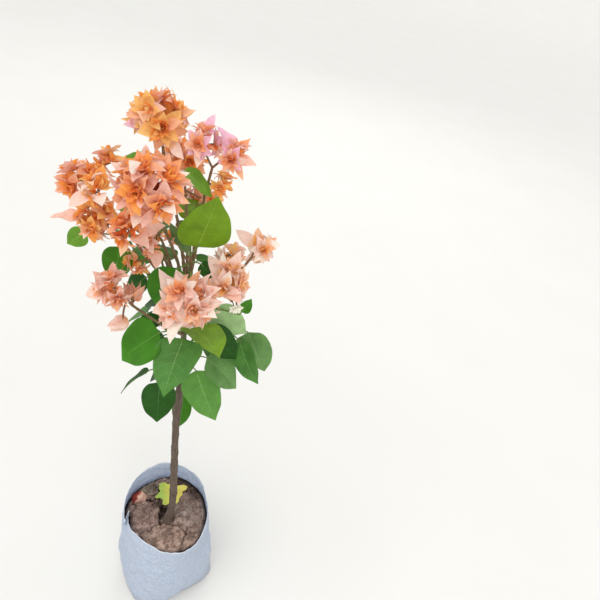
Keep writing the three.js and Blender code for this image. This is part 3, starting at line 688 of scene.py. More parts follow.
# Colours of the earth: a clod's middle, how far its colour reaches, and its colour
EARTH = [
    ((-6, -42), 30, (208, 177, 161)), ((34, -50), 16, (198, 168, 152)), ((-36, -2), 26, (188, 158, 149)),
    ((40, 4), 28, (172, 152, 143)), ((24, 2), 13, (194, 176, 166)), ((-28, 50), 18, (168, 156, 140)),
    ((30, 52), 20, (80, 60, 52)), ((-10, 26), 14, (80, 60, 52)), ((52, 30), 18, (84, 62, 56)),
]


def soil_look():
    """Dry earth: each clod in its own brown, with sandy grains, and painted shade that turns the cracks, the
    hollow and the low ring along the bag's wall nearly black.
    """
    look = Look("soil_clods", roughness=0.93, specular=0.12)
    grains = look.noise(520, 4, 0.7)
    earth = linear((186, 160, 150))
    for (x, y), reach, colour in EARTH:
        middle = (x * MM, y * MM, SOIL_TOP * MM)
        away = look.node("VectorMath", {0: look.place, 1: middle}, operation="DISTANCE")
        near = look.fade(away.outputs["Value"], reach * 1.15 * MM, reach * 0.7 * MM)
        earth = look.blend(near, earth, linear(colour))
    uneven = look.ramp(look.noise(34, 4, 0.6), (0.3, (150, 146, 144)), (0.7, WHITE))
    patches = look.ramp(look.noise(120, 3, 0.6), (0.38, (160, 156, 154)), (0.6, WHITE))
    for shade in (uneven, patches):
        earth = look.blend(1.0, earth, shade, "MULTIPLY")
    earth = look.blend(look.spots(grains, 0.42, 0.78, (190, 190, 190)), earth, linear((196, 170, 154)))
    # Painted shade: the lower the soil lies, the nearer it goes to black, in the cracks, the hollow and along
    # the wall.
    deep = look.fade(look.part(look.place, 2), (SOIL_TOP - 1.9) * MM, (SOIL_TOP - 7) * MM, high=0.92)
    look.colour(look.blend(deep, earth, linear((34, 25, 23))))
    look.bump(grains, 0.0012, 0.8)
    look.bump(look.noise(140, 4, 0.6), 0.0035, 0.7)
    return look.material


def brick_look(middle, way):
    """Broken brick: dark red, going over to pale pink towards one side as the camera sees it."""
    look = Look("broken_brick", roughness=0.9, specular=0.15)
    place = look.node("VectorMath", {0: look.place, 1: tuple(middle * MM)}, operation="SUBTRACT").outputs[0]
    # The colour goes from dark red to pale pink along one direction seen from the camera, right and a little
    # down.
    side = look.node("VectorMath", {0: place, 1: tuple(way)}, operation="DOT_PRODUCT").outputs["Value"]
    towards_pink = look.math("MULTIPLY_ADD", look.noise(120, 4, 0.6), 0.012, side)
    reds = (0.0, (118, 48, 40)), (0.4, (150, 84, 70)), (0.75, (204, 164, 146))
    look.colour(look.ramp(look.fade(towards_pink, 0.0035, 0.008), *reds))
    look.bump(look.noise(380, 4, 0.7), 0.0012, 0.8)
    return look.material


def fallen_look():
    """A fading leaf: green at its upper left, yellow towards its tips, with a few brown spots."""
    look = Look("fading_leaf", roughness=0.5, specular=0.35)
    edge = look.math("MULTIPLY_ADD", look.noise(60, 3), 0.012, look.part(look.place, 0))
    yellows = (0.0, (172, 200, 92)), (0.35, (210, 212, 92)), (1.0, (232, 216, 108))
    fading = look.ramp(look.fade(edge, -0.002, 0.03), *yellows)
    spots = look.spots(look.noise(130, 3, 0.7), 0.68, 0.74)
    look.colour(look.cover(fading, spots, 0.5, linear((150, 104, 44))))
    look.bump(look.noise(500, 2), 0.0003, 0.4)
    look.glow_through(0.2)
    return look.material


# Limbs

# How finely they are cut: the sides of each ring, and the distance from ring to ring
TRUNK_CUT, BOUGH_CUT, STEM_CUT = (40, 1.3), (14, 1.2), (10, 1.5)
TWIG_CUT, STALK_CUT, FINE_CUT = (8, 2), (8, 1.5), (6, 2)

# How far up the trunk the scars of old leaves stand
SCARS = np.arange(24.0, 470.0, 29.0)


def ring_frames(heading):
    """Two directions square to a curve all along it, carried on without twisting."""
    first = square_to(heading[0], SIDEWAYS)
    sides = [first]
    for direction in heading[1:]:
        sides.append(square_to(direction, sides[-1]))
    sides = np.array(sides)
    return sides, np.cross(heading, sides)


def add_limb(heap, points, radius_at, sides, spacing, relief=None):
    """A tapering limb along a smooth curve, with relief on its bark if it has any."""
    curve = points if isinstance(points, Curve) else Curve(points)
    share = np.linspace(0, 1, max(3, int(curve.length / spacing) + 1))
    centre, heading = curve.at(share), curve.heading(share)
    one, other = ring_frames(heading)
    turn = round_about(sides)
    out = np.cos(turn)[..., None] * one[:, None] + np.sin(turn)[..., None] * other[:, None]
    radius = np.array([radius_at(s) for s in share])[:, None] * np.ones(sides)
    if relief:
        skin = centre[:, None] + out * radius[..., None]
        radius = radius + relief(share[:, None] * curve.length, turn, skin)
    heap.add_tube(centre[:, None] + out * radius[..., None])


def taper(radii):
    """A radius that goes evenly from the first to the second."""
    return lambda share: radii[0] + (radii[1] - radii[0]) * share


def knotted(radii, length, spacing, swell):
    """Radii that taper and swell a little at each joint of the wood."""
    def radius_at(share):
        along = (share * length) % spacing - spacing / 2
        return taper(radii)(share) * (1 + swell * math.exp(-((along / 2.2) ** 2)))
    return radius_at


def trunk_relief(run, turn, points):
    """Fissures, lenticels and the scars of old leaves, in millimetres."""
    skin = points / np.array([1.0, 1.0, 3.4])
    height = 0.28 * ripple(5, skin, 4.6, 3) + 0.16 * ripple(6, points, 26.0, 2)
    for k, scar in enumerate(SCARS):
        off = np.angle(np.exp(1j * (turn - GOLDEN_TURN * k)))
        height = height + 0.85 * np.exp(-((run - scar) / 2.6) ** 2 - (off / 0.5) ** 2)
        height = height - 0.45 * np.exp(-((run - scar - 3.2) / 1.6) ** 2 - (off / 0.34) ** 2)
    foot = np.exp(-run / 9.0)
    return height + 0.9 * foot * np.cos(5 * turn + 0.6) + 0.5 * foot * np.cos(3 * turn + 2)


def bough_relief(run, turn, points):
    """Fine long ridges."""
    return 0.12 * ripple(9, points / np.array([1, 1, 2.5]), 3.0, 2)


def add_thorn(heap, root, way, long):
    """One thorn, curved a little upwards."""
    bend = root + way * long * 0.55 + UP * long * 0.02
    tip = root + way * long + UP * long * 0.22
    add_limb(heap, [root, bend, tip], lambda share: 0.75 * (1 - share) ** 0.8 + 0.04, 6, long / 7)


# Thin blades: leaves and bracts

LEAF_ROWS, LEAF_COLUMNS = 22, 13
LEAF_THICKNESS = 0.35
VEIN_PAIRS, VEIN_LIFT = 5, 0.14
BRACT_ROWS, BRACT_COLUMNS = 13, 7
BASE_ROWS, TIP_ROWS = 3, 1


def shape_blades(blades, rows, columns, tip, drawn=0.0):
    """Every blade's grid of points at once, with its middle line, side and face directions."""
    v = {key: np.array([blade[key] for blade in blades], float) for key in blades[0] if key != "tint"}
    t, u = np.linspace(0, 1, rows), np.linspace(-1, 1, columns)
    column = lambda key: v[key][:, None]
    plane = lambda key: v[key][:, None, None]
    width = t ** column("base") * (1 - t) ** tip * (1 - drawn * smoothstep(t, 0.7, 1.0))
    width /= width.max(axis=1, keepdims=True)
    angle = column("bend") * (t - column("level")) + column("curl") * (t ** 3 - column("level") / 2)
    along, face = column("along"), column("face")
    heading = along * np.cos(angle)[..., None] - face * np.sin(angle)[..., None]
    up = face * np.cos(angle)[..., None] + along * np.sin(angle)[..., None]
    run = (heading[:, 1:] + heading[:, :-1]) * 0.5 * plane("long") / (rows - 1)
    start = np.zeros((len(blades), 1, 3))
    middle = column("root") + np.concatenate([start, np.cumsum(run, axis=1)], axis=1)
    side = np.cross(heading, up)
    twist = (column("twist") * t)[..., None]
    side, up = side * np.cos(twist) + up * np.sin(twist), up * np.cos(twist) - side * np.sin(twist)
    half = column("wide") * 0.5 * width
    x = half[..., None] * u
    share = np.abs(u)[None, None]
    wave = np.sin(TAU * column("waves") * t + column("phase"))[..., None] * np.sign(u)
    lift = (plane("fold") * np.abs(x) + plane("cup") * x ** 2 / (plane("wide") * 0.5)
            + plane("ruffle") * wave * share ** 2 * (half / (column("wide") * 0.5))[..., None])
    if "quilt" in v:
        rib = t[None, :, None] * VEIN_PAIRS - share * half[..., None] / plane("long") * VEIN_PAIRS * 1.1
        lift -= plane("quilt") * np.cos(TAU * rib) * (1 - share ** 3) * (share > 0.01)
    inward = np.sqrt(np.clip(1 - (plane("fold") * 0.55) ** 2, 0.2, 1))
    across = side[:, :, None] * (x * inward)[..., None]
    sheets = middle[:, :, None] + across + up[:, :, None] * lift[..., None]
    return sheets, middle, side, up


def on_sheets(sheets, t, u):
    """Points on every blade at places t along it and u across it."""
    rows, columns = sheets.shape[1:3]
    y, x = np.clip(t, 0, 1) * (rows - 1), (np.clip(u, -1, 1) + 1) / 2 * (columns - 1)
    r, c = np.minimum(y.astype(int), rows - 2), np.minimum(x.astype(int), columns - 2)
    fy, fx = (y - r)[None, :, None], (x - c)[None, :, None]
    low = sheets[:, r, c] * (1 - fx) + sheets[:, r, c + 1] * fx
    high = sheets[:, r + 1, c] * (1 - fx) + sheets[:, r + 1, c + 1] * fx
    return low * (1 - fy) + high * fy


def add_veins(heap, sheets, middle, side, up):
    """A raised midrib on every leaf, and pairs of finer side veins."""
    rows = middle.shape[1]
    t = np.linspace(0, 1, rows)
    half = (0.5 * (1 - 0.85 * t))[None, :, None]
    crest = middle + up * (VEIN_LIFT + 0.16)
    edges = [middle + side * half * k + up * (VEIN_LIFT * 0.3) for k in (-1, 1)]
    heap.add_sheets(np.stack([edges[0], crest, edges[1]], axis=2)[:, :-1])
    step = np.linspace(0, 1, 8)
    for k in range(1, VEIN_PAIRS + 1):
        start = (k - 0.35) / (VEIN_PAIRS + 1.1)
        for hand in (-1, 1):
            u = hand * step * 0.9
            path = start + (0.2 - 0.06 * start) * step ** 1.25
            thick = 0.0025 * (1 - 0.75 * step)
            above = on_sheets(up[:, :, None], path, u * 0) * VEIN_LIFT
            rails = [on_sheets(sheets, path + thick * s, u) + above * (0.6 if s else 1.3) for s in (-1, 0, 1)]
            heap.add_sheets(np.stack(rails, axis=2), flip=hand < 0)


def leaf_blade(root, along, face, long, wide, tint, random, **shape):
    """The numbers that shape one leaf."""
    return dict(
        root=root, along=along, face=face, long=long, wide=wide, tint=tint, base=0.4, level=0.5,
        bend=random.uniform(0.1, 0.5), curl=random.uniform(0.0, 0.25), twist=random.uniform(-0.2, 0.2),
        cup=random.uniform(-0.08, 0.1), fold=random.uniform(0.06, 0.22), ruffle=long * 0.022,
        waves=random.uniform(1.1, 2.2), phase=random.uniform(0, TAU), quilt=0.2) | shape


def bract_blade(root, along, face, long, wide, tint, random, loose, **shape):
    """The numbers that shape one bract: loose ones curl back, tight ones close up and crumple."""
    return dict(
        root=root, along=along, face=face, long=long, wide=wide, tint=tint, base=0.6, level=0.0,
        bend=random.normal(-0.4 + 0.55 * loose, 0.3), curl=random.normal(0.1 + 0.45 * loose, 0.35),
        twist=random.normal(0, 0.5 - 0.2 * loose), cup=random.normal(0.3 - 0.2 * loose, 0.12),
        fold=random.uniform(0.12, 0.55 - 0.25 * loose),
        ruffle=long * random.uniform(0.03, 0.11 - 0.05 * loose),
        waves=random.uniform(1.0, 2.6), phase=random.uniform(0, TAU)) | shape


# Blooms

# Each whorl from the outermost: how many bracts, their length, their opening in degrees,
# their width, how far from the middle they start, and how loose they are
WHORLS = [
    ((6, 7), (0.88, 1.08), (60, 94), (0.54, 0.66), 0.05, 1.0),
    ((5, 7), (0.72, 0.92), (38, 62), (0.5, 0.64), 0.08, 0.7),
    ((5, 7), (0.5, 0.7), (16, 42), (0.5, 0.66), 0.1, 0.3),
    ((6, 9), (0.26, 0.44), (0, 32), (0.5, 0.85), 0.16, 0.0),
]
LONE_SIZE, CROWDED_SIZE = 1.0, 0.64

# How much of a floret's size lies outside its foot, and the least way out that its foot stands
FLORET_DEPTH, LEAST_OUT = 0.74, 0.08
FILLER_LONG, FILLER_WIDE = (0.62, 0.82), (0.45, 0.6)

# Radii at both ends
FLORET_STALK, BUD_STALK, FLOWER_TUBE = (0.75, 0.55), (0.7, 0.5), (0.5, 0.75)


def dome_tilt(share):
    """How far from a bloom's facing a floret leans, spread evenly over the dome by its share."""
    return math.acos(1 - share * (1 - math.cos(HEAD_DOME)))


def grow_bloom(bloom, bracts, twigs, random):
    """One bloom: double florets round its dome on their own small stalks."""
    middle, reach = bloom["at"], bloom["reach"]
    facing = unit(unit(middle - CROWN_HEART) + FACING_UP * UP)
    sideways = square_to(facing, SIDEWAYS)
    across = np.cross(facing, sideways)

    def leaning(tilt, turn):
        away = sideways * math.cos(turn) + across * math.sin(turn)
        return facing * math.cos(tilt) + away * math.sin(tilt)

    florets = math.ceil((reach / FLORET_REACH) ** 2 * FLORETS_SHARE)
    size = reach * (CROWDED_SIZE + (LONE_SIZE - CROWDED_SIZE) / florets)
    for f in range(florets):
        out = leaning(dome_tilt((f + 0.35) / florets), GOLDEN_TURN * f + random.uniform(0, 0.6))
        own = size * random.uniform(0.9, 1.05)
        root = middle + out * max(reach - own * FLORET_DEPTH, LEAST_OUT * reach)
        stalk = [middle - facing * reach * 0.1, (middle + root) / 2, root + out]
        add_limb(twigs, stalk, taper(FLORET_STALK), 6, 3)
        grow_floret(bloom["mood"], root, out, own, bracts, random)
    for _ in range(round(reach * FILLERS_SHARE)):
        grow_filler(bloom, leaning(dome_tilt(random.uniform()), random.uniform(0, TAU)), bracts, random)


def grow_filler(bloom, out, bracts, random):
    """One deep-coloured bract low between the florets."""
    along = unit(out + random.normal(0, 0.25, 3))
    face = square_to(along, random.normal(0, 1, 3))
    long = bloom["reach"] * random.uniform(*FILLER_LONG)
    _, middling, inner, _ = MOODS[bloom["mood"]]
    tint = random.choice(inner + middling)
    foot = bloom["at"] + out * bloom["reach"] * LEAST_OUT
    wide = long * random.uniform(*FILLER_WIDE)
    bracts.append(bract_blade(foot, along, face, long, wide, tint, random, 0.3))


def grow_floret(mood, root, out, size, bracts, random):
    """The whorls of one floret, opened round its own direction."""
    flat = square_to(out, FLAT)
    other = np.cross(out, flat)
    for (counts, longs, openings, wides, foot, loose), tints in zip(WHORLS, MOODS[mood]):
        count = random.integers(*counts, endpoint=True)
        start = random.uniform(0, TAU)
        for b in range(count):
            turn = start + TAU * b / count + random.uniform(-0.3, 0.3)
            opening = math.radians(random.uniform(*openings))
            away = flat * math.cos(turn) + other * math.sin(turn)
            along = unit(out * math.cos(opening) + away * math.sin(opening))
            long = size * random.uniform(*longs)
            wide = long * random.uniform(*wides)
            face = square_to(along, out - away * 0.2 + random.normal(0, 0.12, 3))
            tint = random.choice(tints)
            place = root + (out * 0.4 + away) * foot * size
            bracts.append(bract_blade(place, along, face, long, wide, tint, random, loose))


def grow_accents(bloom, rows, bracts, random):
    """The large single bracts of a bloom that show from the front."""
    for way, long, wide, tint, start in rows:
        along = seen(*way)
        face = square_to(along, seen(random.normal(0, 0.3), random.normal(0.2, 0.3), 1))
        foot = bloom["at"] + along * bloom["reach"] * start
        bracts.append(bract_blade(foot, along, face, long, wide, tint, random, 0.8, level=0.5, cup=0.1))


def grow_buds(bloom, bracts, twigs, random):
    """A cluster of closed buds: slim bracts folded round each other."""
    middle, reach = bloom["at"], bloom["reach"]
    root = middle - UP * reach * 0.5
    for b in range(6):
        out = unit(seen(0.7 * (b / 2.5 - 1), 1, 0.3) + random.normal(0, 0.12, 3))
        add_limb(twigs, [root, root + UP, root + out * reach * 0.3], taper(BUD_STALK), *FINE_CUT)
        for k in range(4):
            face = square_to(out, random.normal(0, 1, 3))
            along, long = unit(out + face * 0.08), reach * random.uniform(0.9, 1.25)
            tint = random.choice(MOODS[bloom["mood"]][1])
            foot = root + out * reach * 0.25
            bracts.append(bract_blade(foot, along, -face, long, reach * 0.46, tint, random, 0.0,
                                      bend=-0.1, curl=-0.1, cup=0.5, fold=0.4, ruffle=0.2))


def grow_lone(bloom, bracts, twigs, random):
    """A small floret of a few wide pale bracts that hangs out to the side."""
    middle, reach = bloom["at"], bloom["reach"]
    out = unit(np.array([-0.75, -0.45, -0.35]))
    for turn, tint in ((-0.35, "pale"), (0.4, "pink"), (2.6, "pale")):
        away = turned(square_to(out, UP), out, turn)
        along, foot = unit(out + away * 0.35), middle - out * reach * 0.3
        face = square_to(along, away)
        bracts.append(bract_blade(foot, along, face, reach * 1.15, reach * 0.75, tint, random, 1.0,
                                  bend=0.15, curl=0.1, fold=0.25))


def grow_flowers(bloom, bracts, twigs, random):
    """The true flowers: slim tubes that open in a small cream star."""
    middle, reach = bloom["at"], bloom["reach"]
    for k in range(5):
        out = unit(aim(-70 + 34 * k, 10 + 14 * (k % 3)) + seen(0, 0, 0.5) + random.normal(0, 0.2, 3))
        foot, mouth = middle + random.normal(0, 2.0, 3), middle + out * reach * 0.8
        add_limb(twigs, [foot, (foot + mouth) / 2 + UP, mouth], taper(FLOWER_TUBE), *FINE_CUT)
        grow_star(mouth, out, bracts, random)


def grow_star(mouth, out, bracts, random):
    """Five small cream lobes round the mouth of a flower's tube."""
    flat = square_to(out, FLAT)
    for b in range(5):
        away = turned(flat, out, TAU * b / 5)
        along = unit(away + out * 0.35)
        bracts.append(bract_blade(mouth, along, square_to(along, out), 7.0, 5.0, "white", random, 1.0,
                                  ruffle=0.15, curl=0.2))


GROW = {"double": grow_bloom, "buds": grow_buds, "lone": grow_lone, "flowers": grow_flowers}


# The whole plant

LIMB_SEED, MASS_SEED = 11, 100
THORN_SPACING = 24.0

# Joints in the wood: how far apart, and how much thicker they are
BOUGH_JOINTS, STEM_JOINTS = (21.0, 0.2), (12.0, 0.18)

limbs = {"trunk": Curve(TRUNK_PATH)}
trunk_heap, bough_heap, shoot_heap = Heap(), Heap(), Heap()
twig_heap, green_heap, thorn_heap = Heap(), Heap(), Heap()


def on_trunk(height):
    """The point on the trunk's middle line at a height."""
    trunk, share = limbs["trunk"], np.linspace(0, 1, 2001)
    return trunk.at(float(np.interp(height, trunk.at(share)[:, 2], share)))


def grow_limbs():
    """The trunk and its boughs, with a thorn or a bud by turns where old leaves stood."""
    radii = np.array(TRUNK_RADII, float)
    trunk_radius = lambda share: np.interp(share, radii[:, 0], radii[:, 1])
    add_limb(trunk_heap, limbs["trunk"], trunk_radius, *TRUNK_CUT, trunk_relief)
    random = np.random.default_rng(LIMB_SEED)
    for name, (height, bend, tip) in BOUGHS.items():
        curve = Curve([on_trunk(height), bend, tip])
        limbs[name] = curve
        heap = shoot_heap if name == GREEN_BOUGH else bough_heap
        add_limb(heap, curve, knotted(BOUGH_RADII, curve.length, *BOUGH_JOINTS), *BOUGH_CUT, bough_relief)
        for k, place in enumerate(np.arange(0.3, 0.95, THORN_SPACING / curve.length)):
            heading = curve.heading(np.array([place]))[0]
            out = turned(square_to(heading, SIDEWAYS), heading, GOLDEN_TURN * k + random.uniform(0, 1))
            root = curve.at(place)
            if k % 2:
                add_thorn(thorn_heap, root + out * 1.6, unit(out + heading * 0.25), random.uniform(4.5, 7.5))
            else:
                add_bud(root + out * 2.0, unit(out * 0.8 + heading), random)


def add_bud(root, way, random):
    """A tiny leaf bud in the corner of an old leaf scar."""
    add_limb(green_heap, [root - way, root + way * 1.6, root + way * random.uniform(3, 4.5)],
             lambda share: 0.95 * math.sin(math.pi * (0.15 + 0.82 * share)) + 0.06, 7, 0.7)


def grow_mass(name, mass, seed, leaves, bracts):
    """One mass: its stem, its blooms on their twigs, and its leaves on their stalks."""
    random = np.random.default_rng(seed)
    place, stem, blooms, blades = mass
    curve = Curve([limbs[place].at(BOUGH_END) if place in limbs else on_trunk(place), *stem])
    heap = twig_heap if blooms else green_heap
    add_limb(heap, curve, knotted(STEM_RADII, curve.length, *STEM_JOINTS), *STEM_CUT)
    for k, bloom in enumerate(blooms):
        start = curve.at(bloom["along"])
        sag = (start + bloom["at"]) / 2 + random.normal(0, 1.0, 3)
        add_limb(twig_heap, [start, sag, bloom["at"]], taper(TWIG_RADII), *TWIG_CUT)
        GROW[bloom["kind"]](bloom, bracts, twig_heap, random)
        grow_accents(bloom, ACCENTS.get((name, k), []), bracts, random)
    for row in blades:
        grow_leaf(curve, row, leaves, random)


def grow_leaf(curve, row, leaves, random):
    """One leaf: a stalk from the stem, and a blade whose midrib the stalk runs into."""
    start = curve.at(row["place"])
    if row["twig_end"]:
        end = np.array(row["twig_end"], float)
        add_limb(green_heap, [start, (start + end) / 2 + UP, end], taper(TWIG_RADII), *TWIG_CUT)
        start = end
    along = aim(row["turn"], row["drop"])
    root = start + aim(row["turn"], row["drop"] * 0.5 - STALK_RISE) * row["stalk"]
    face = turned(square_to(along, UP), along, math.radians(row["roll"]))
    add_limb(green_heap, [start, root, root + along * LEAF_SUNK], taper(STALK_RADII), *STALK_CUT)
    long, wide, tint = row["long"], row["wide"], row["tint"]
    leaves.append(leaf_blade(root, along, face, long, wide, tint, random, **row["shape"]))


def plant_piece(heap, name, material, slot, *nodes):
    """A piece of the plant, moved from the trunk's own frame to the bag's."""
    heap.points = [points + FOOT for points in heap.points]
    heap.piece(name, material, slot, *nodes)


def lay_out_leaves(leaves):
    """The leaves of each green as one piece, with their undersides and veins as pieces of their own."""
    under_heap = Heap()
    for tint, (green, vein) in LEAF_TINTS.items():
        chosen = [blade for blade in leaves if blade["tint"] == tint]
        sheets, middle, side, up = shape_blades(chosen, LEAF_ROWS, LEAF_COLUMNS, tip=0.85, drawn=0.35)
        top_heap, vein_heap = Heap(), Heap()
        top_heap.add_sheets(sheets)
        under_heap.add_sheets(sheets - up[:, :, None] * LEAF_THICKNESS, flip=True)
        add_veins(vein_heap, sheets, middle, side, up)
        plant_piece(top_heap, f"leaves_{tint}", leaf_look(f"leaf_{tint}", green), "leaf")
        plant_piece(vein_heap, f"veins_{tint}", plain_look(f"vein_{tint}", vein, 0.5), "leaf")
    plant_piece(under_heap, "leaf_undersides", leaf_look("leaf_under", (112, 146, 88), 0.6, 0.25), "leaf")


def lay_out_bracts(bracts):
    """The bracts' base, middle and tip each go to the piece of their colour."""
    sheets, *_ = shape_blades(bracts, BRACT_ROWS, BRACT_COLUMNS, tip=1.15)
    heaps = {tint: Heap() for tint in BRACT_TINTS}
    bands = np.array([(BRACT_TINTS[blade["tint"]][1], blade["tint"], BRACT_TINTS[blade["tint"]][2])
                      for blade in bracts])
    edges = (0, BASE_ROWS, BRACT_ROWS - 1 - TIP_ROWS, BRACT_ROWS - 1)
    for tints, first, last in zip(bands.T, edges, edges[1:]):
        for tint, heap in heaps.items():
            chosen = sheets[tints == tint][:, first:last + 1]
            if len(chosen):
                heap.add_sheets(chosen)
    for tint, heap in heaps.items():
        plant_piece(heap, f"bracts_{tint}", petal_look(f"bract_{tint}", BRACT_TINTS[tint][0]), "bract")


def build_plant():
    """Grows the plant mass by mass, and hands its heaps over as finished pieces."""
    leaves, bracts = [], []
    grow_limbs()
    for k, (name, mass) in enumerate(MASSES.items()):
        grow_mass(name, mass, MASS_SEED + k, leaves, bracts)
    trunk_bark = bark_look("bark", (60, 48, 42), (90, 76, 66), (126, 110, 96), 420)
    young_bark = bark_look("young_bark", (92, 72, 50), (130, 106, 74), (160, 136, 104), 620)
    brown_boughs = [name for name in BOUGHS if name != GREEN_BOUGH]
    plant_piece(trunk_heap, "trunk_bark", trunk_bark, "bark", "trunk")
    plant_piece(bough_heap, "bough_bark", young_bark, "young_bark", *brown_boughs)
    plant_piece(shoot_heap, "shoot_bark", plain_look("shoot_bark", (156, 172, 88)), "young_bark", GREEN_BOUGH)
    plant_piece(twig_heap, "bloom_twigs", plain_look("bloom_twig", (140, 104, 72)), "young_bark")
    plant_piece(thorn_heap, "thorns", plain_look("thorn", (128, 92, 62), 0.45), "young_bark")
    plant_piece(green_heap, "leaf_stalks", plain_look("leaf_stalk", (112, 140, 70), 0.5), "leaf", *MASSES)
    lay_out_leaves(leaves)
    lay_out_bracts(bracts)


# The bag

def waves(rows, angle):
    """The sum of some waves round a circle: each has its size, how many times round and its start."""
    return sum(size * np.sin(times * angle + start) for size, times, start in rows)


def sack_point(radius, angle, height):
    """The bag's shape, as in the source: where a point at a radius, an angle and a height ends up."""
    up = smoothstep(height, RIM_FROM, BAG_RIM_HEIGHT)
    crease = 1.4 * np.sin(4 * angle + height / 60) + 0.6 * np.sin(7 * angle - height / 70)
    loose = crease * (1 - up) + waves(RIM_OUTLINE, angle) * up
    share = radius / BAG_BELLY_RADIUS
    out = radius + loose * share ** 3 + bumps(FOOT_PULLS, angle) * np.exp(-height / FOOT_FADE) * share
    back = out * np.sin(angle) * BAG_FRONT_BACK + RIM_BACKWARDS * up * share
    return points_at(out * np.cos(angle), back, height + up * waves(RIM_RISE, angle))


def cloth_point(radius, angle, height):
    """A point of the cloth, with its bulges and folds."""
    point = sack_point(radius, angle, height)
    wave = cloth_waves(angle, height) * smoothstep(radius, BAG_FOOT_RADIUS - 8, BAG_FOOT_RADIUS + 2)
    point[..., 0] += wave * np.cos(angle)
    point[..., 1] += wave * np.sin(angle)
    return point


# The wall from the foot up: its radius and its height
WALL_PATH = Curve([
    (BAG_FOOT_RADIUS, 0, 0), (BAG_FOOT_RADIUS + 2, 0, 4), (BAG_FOOT_RADIUS + 6, 0, 24),
    (BAG_BELLY_RADIUS, 0, 70), (BAG_BELLY_RADIUS - 3, 0, 115), (BAG_BELLY_RADIUS - 5, 0, 150),
    (BAG_RIM_RADIUS, 0, BAG_RIM_HEIGHT)])
CLOTH_RADIUS = 72.0

# Folds in the cloth: angle and height at both ends, width and depth
FOLDS = [
    (200, 30, 232, 120, 5.0, 1.6), (215, 96, 262, 40, 6.0, 1.3), (285, 20, 300, 92, 5.5, 1.2),
    (250, 12, 300, 34, 5.0, 1.4), (320, 40, 348, 110, 6.0, 1.3), (178, 60, 190, 150, 5.0, 1.5),
    (20, 30, 52, 104, 6.0, 1.4), (75, 60, 100, 140, 6.0, 1.2), (120, 24, 150, 96, 6.0, 1.5),
    (262, 128, 300, 112, 7.0, 0.9), (335, 128, 20, 150, 6.0, 1.0), (228, 140, 262, 150, 6.0, 0.8),
]
PLEAT_ANGLE, PLEAT_HALF_WIDTH, PLEAT_SHIFT, PLEAT_DEPTH = math.radians(185), 0.45, 0.36, 7.5
PLEAT_FROM = 140
UNDER_ROWS, WALL_ROWS, BAG_COLUMNS, PLEAT_COLUMNS = 14, 96, 321, 121
WALL = WALL_PATH.at(np.linspace(0, 1, WALL_ROWS))[:, [0, 2]]


def pleat_room(angle):
    """How far the pleat's inner fold comes in over the soil at an angle."""
    off = (angle - PLEAT_ANGLE) / PLEAT_HALF_WIDTH
    return PLEAT_DEPTH * smoothstep(off, -0.5, -0.25) * (1 - smoothstep(off, 0, 1.1))


def cloth_waves(angle, height):
    """How far the cloth stands out or in: broad bulges, folds and small wrinkles, in millimetres."""
    around = points_at(np.cos(angle) * CLOTH_RADIUS, np.sin(angle) * CLOTH_RADIUS, height)
    free = smoothstep(height, SOIL_TOP - 25, BAG_RIM_HEIGHT)
    foot = 1 - smoothstep(height, 6, 46)
    out = 0.6 * ripple(21, around, 62, 2) + (0.35 + 0.4 * foot) * ripple(22, around / [1, 1, 0.6], 17, 2)
    out = out + free * 0.5 * ripple(23, around / [1, 1, 2.2], 34, 2)
    out = out + foot * 1.3 * np.abs(np.sin(11 * angle + 1.2 * np.sin(3 * angle)))
    for a0, h0, a1, h1, width, depth in FOLDS:
        a0, a1 = math.radians(a0), math.radians(a0 + (a1 - a0 + 180) % 360 - 180)
        off = np.angle(np.exp(1j * (angle - a0))) * CLOTH_RADIUS
        line = np.array([(a1 - a0) * CLOTH_RADIUS, h1 - h0])
        long = np.linalg.norm(line)
        line = line / long
        run = (off * line[0] + (height - h0) * line[1]) / long
        away = off * line[1] - (height - h0) * line[0] + 4 * np.sin(run * 4)
        window = smoothstep(run, -0.15, 0.25) * (1 - smoothstep(run, 0.7, 1.15))
        crest, valley = (np.exp(-((away - shift) / width) ** 2) for shift in (0, width * 1.5))
        out = out + window * depth * (crest - 0.8 * valley)
    return out


def build_bag():
    """One cloth from the underside's middle up the wall, over the rim and down inside to the floor."""
    under = points_at(np.linspace(0.5, WALL[0, 0] - 1.5, UNDER_ROWS), 0.0)
    outside = np.vstack([under, WALL])
    inside = np.maximum(outside[::-1] - [BAG_CLOTH, 0], [0.5, BAG_CLOTH])
    rim = np.array([[outside[-1, 0] - BAG_CLOTH / 2, outside[-1, 1] + 0.25]])
    profile = np.vstack([outside, rim, inside])
    across_pleat = PLEAT_ANGLE + np.linspace(-1, 1, PLEAT_COLUMNS) * PLEAT_HALF_WIDTH
    angle = np.unique(np.concatenate([np.linspace(0, TAU, BAG_COLUMNS), across_pleat]))[None]
    radius, height = profile[:, :1], profile[:, 1:]
    off = (angle - PLEAT_ANGLE) / PLEAT_HALF_WIDTH
    pleat = smoothstep(height, PLEAT_FROM, BAG_RIM_HEIGHT) * (np.abs(off) < 1)
    shift = -PLEAT_SHIFT * np.sin(math.pi * off) * (1 - off ** 2) * pleat
    depth = PLEAT_DEPTH * smoothstep(off, -0.35, 0.35) * (1 - smoothstep(off, 0.35, 1)) * pleat
    points = cloth_point(radius - depth, angle + shift, height)
    edge = smoothstep(height, BAG_RIM_HEIGHT - 8, BAG_RIM_HEIGHT)
    points[..., 2] += edge * 0.25 * ripple(31, points, 26, 2)
    points[..., 2] = np.maximum(points[..., 2], 0)
    run = np.concatenate([[0], np.cumsum(np.linalg.norm(np.diff(profile, axis=0), axis=1))])
    tapes_round = round(TAU * BAG_BELLY_RADIUS / TAPE_WIDTH)
    spots = points_at(angle / TAU * tapes_round, run[:, None] / TAPE_WIDTH)
    heap = Heap()
    heap.add(points.reshape(-1, 3), grid_faces(len(profile), angle.size), spots=spots.reshape(-1, 2))
    heap.piece("woven_bag", weave_look(run[len(outside)] / TAPE_WIDTH), "bag", "grow_bag")


# The soil and what lies on it

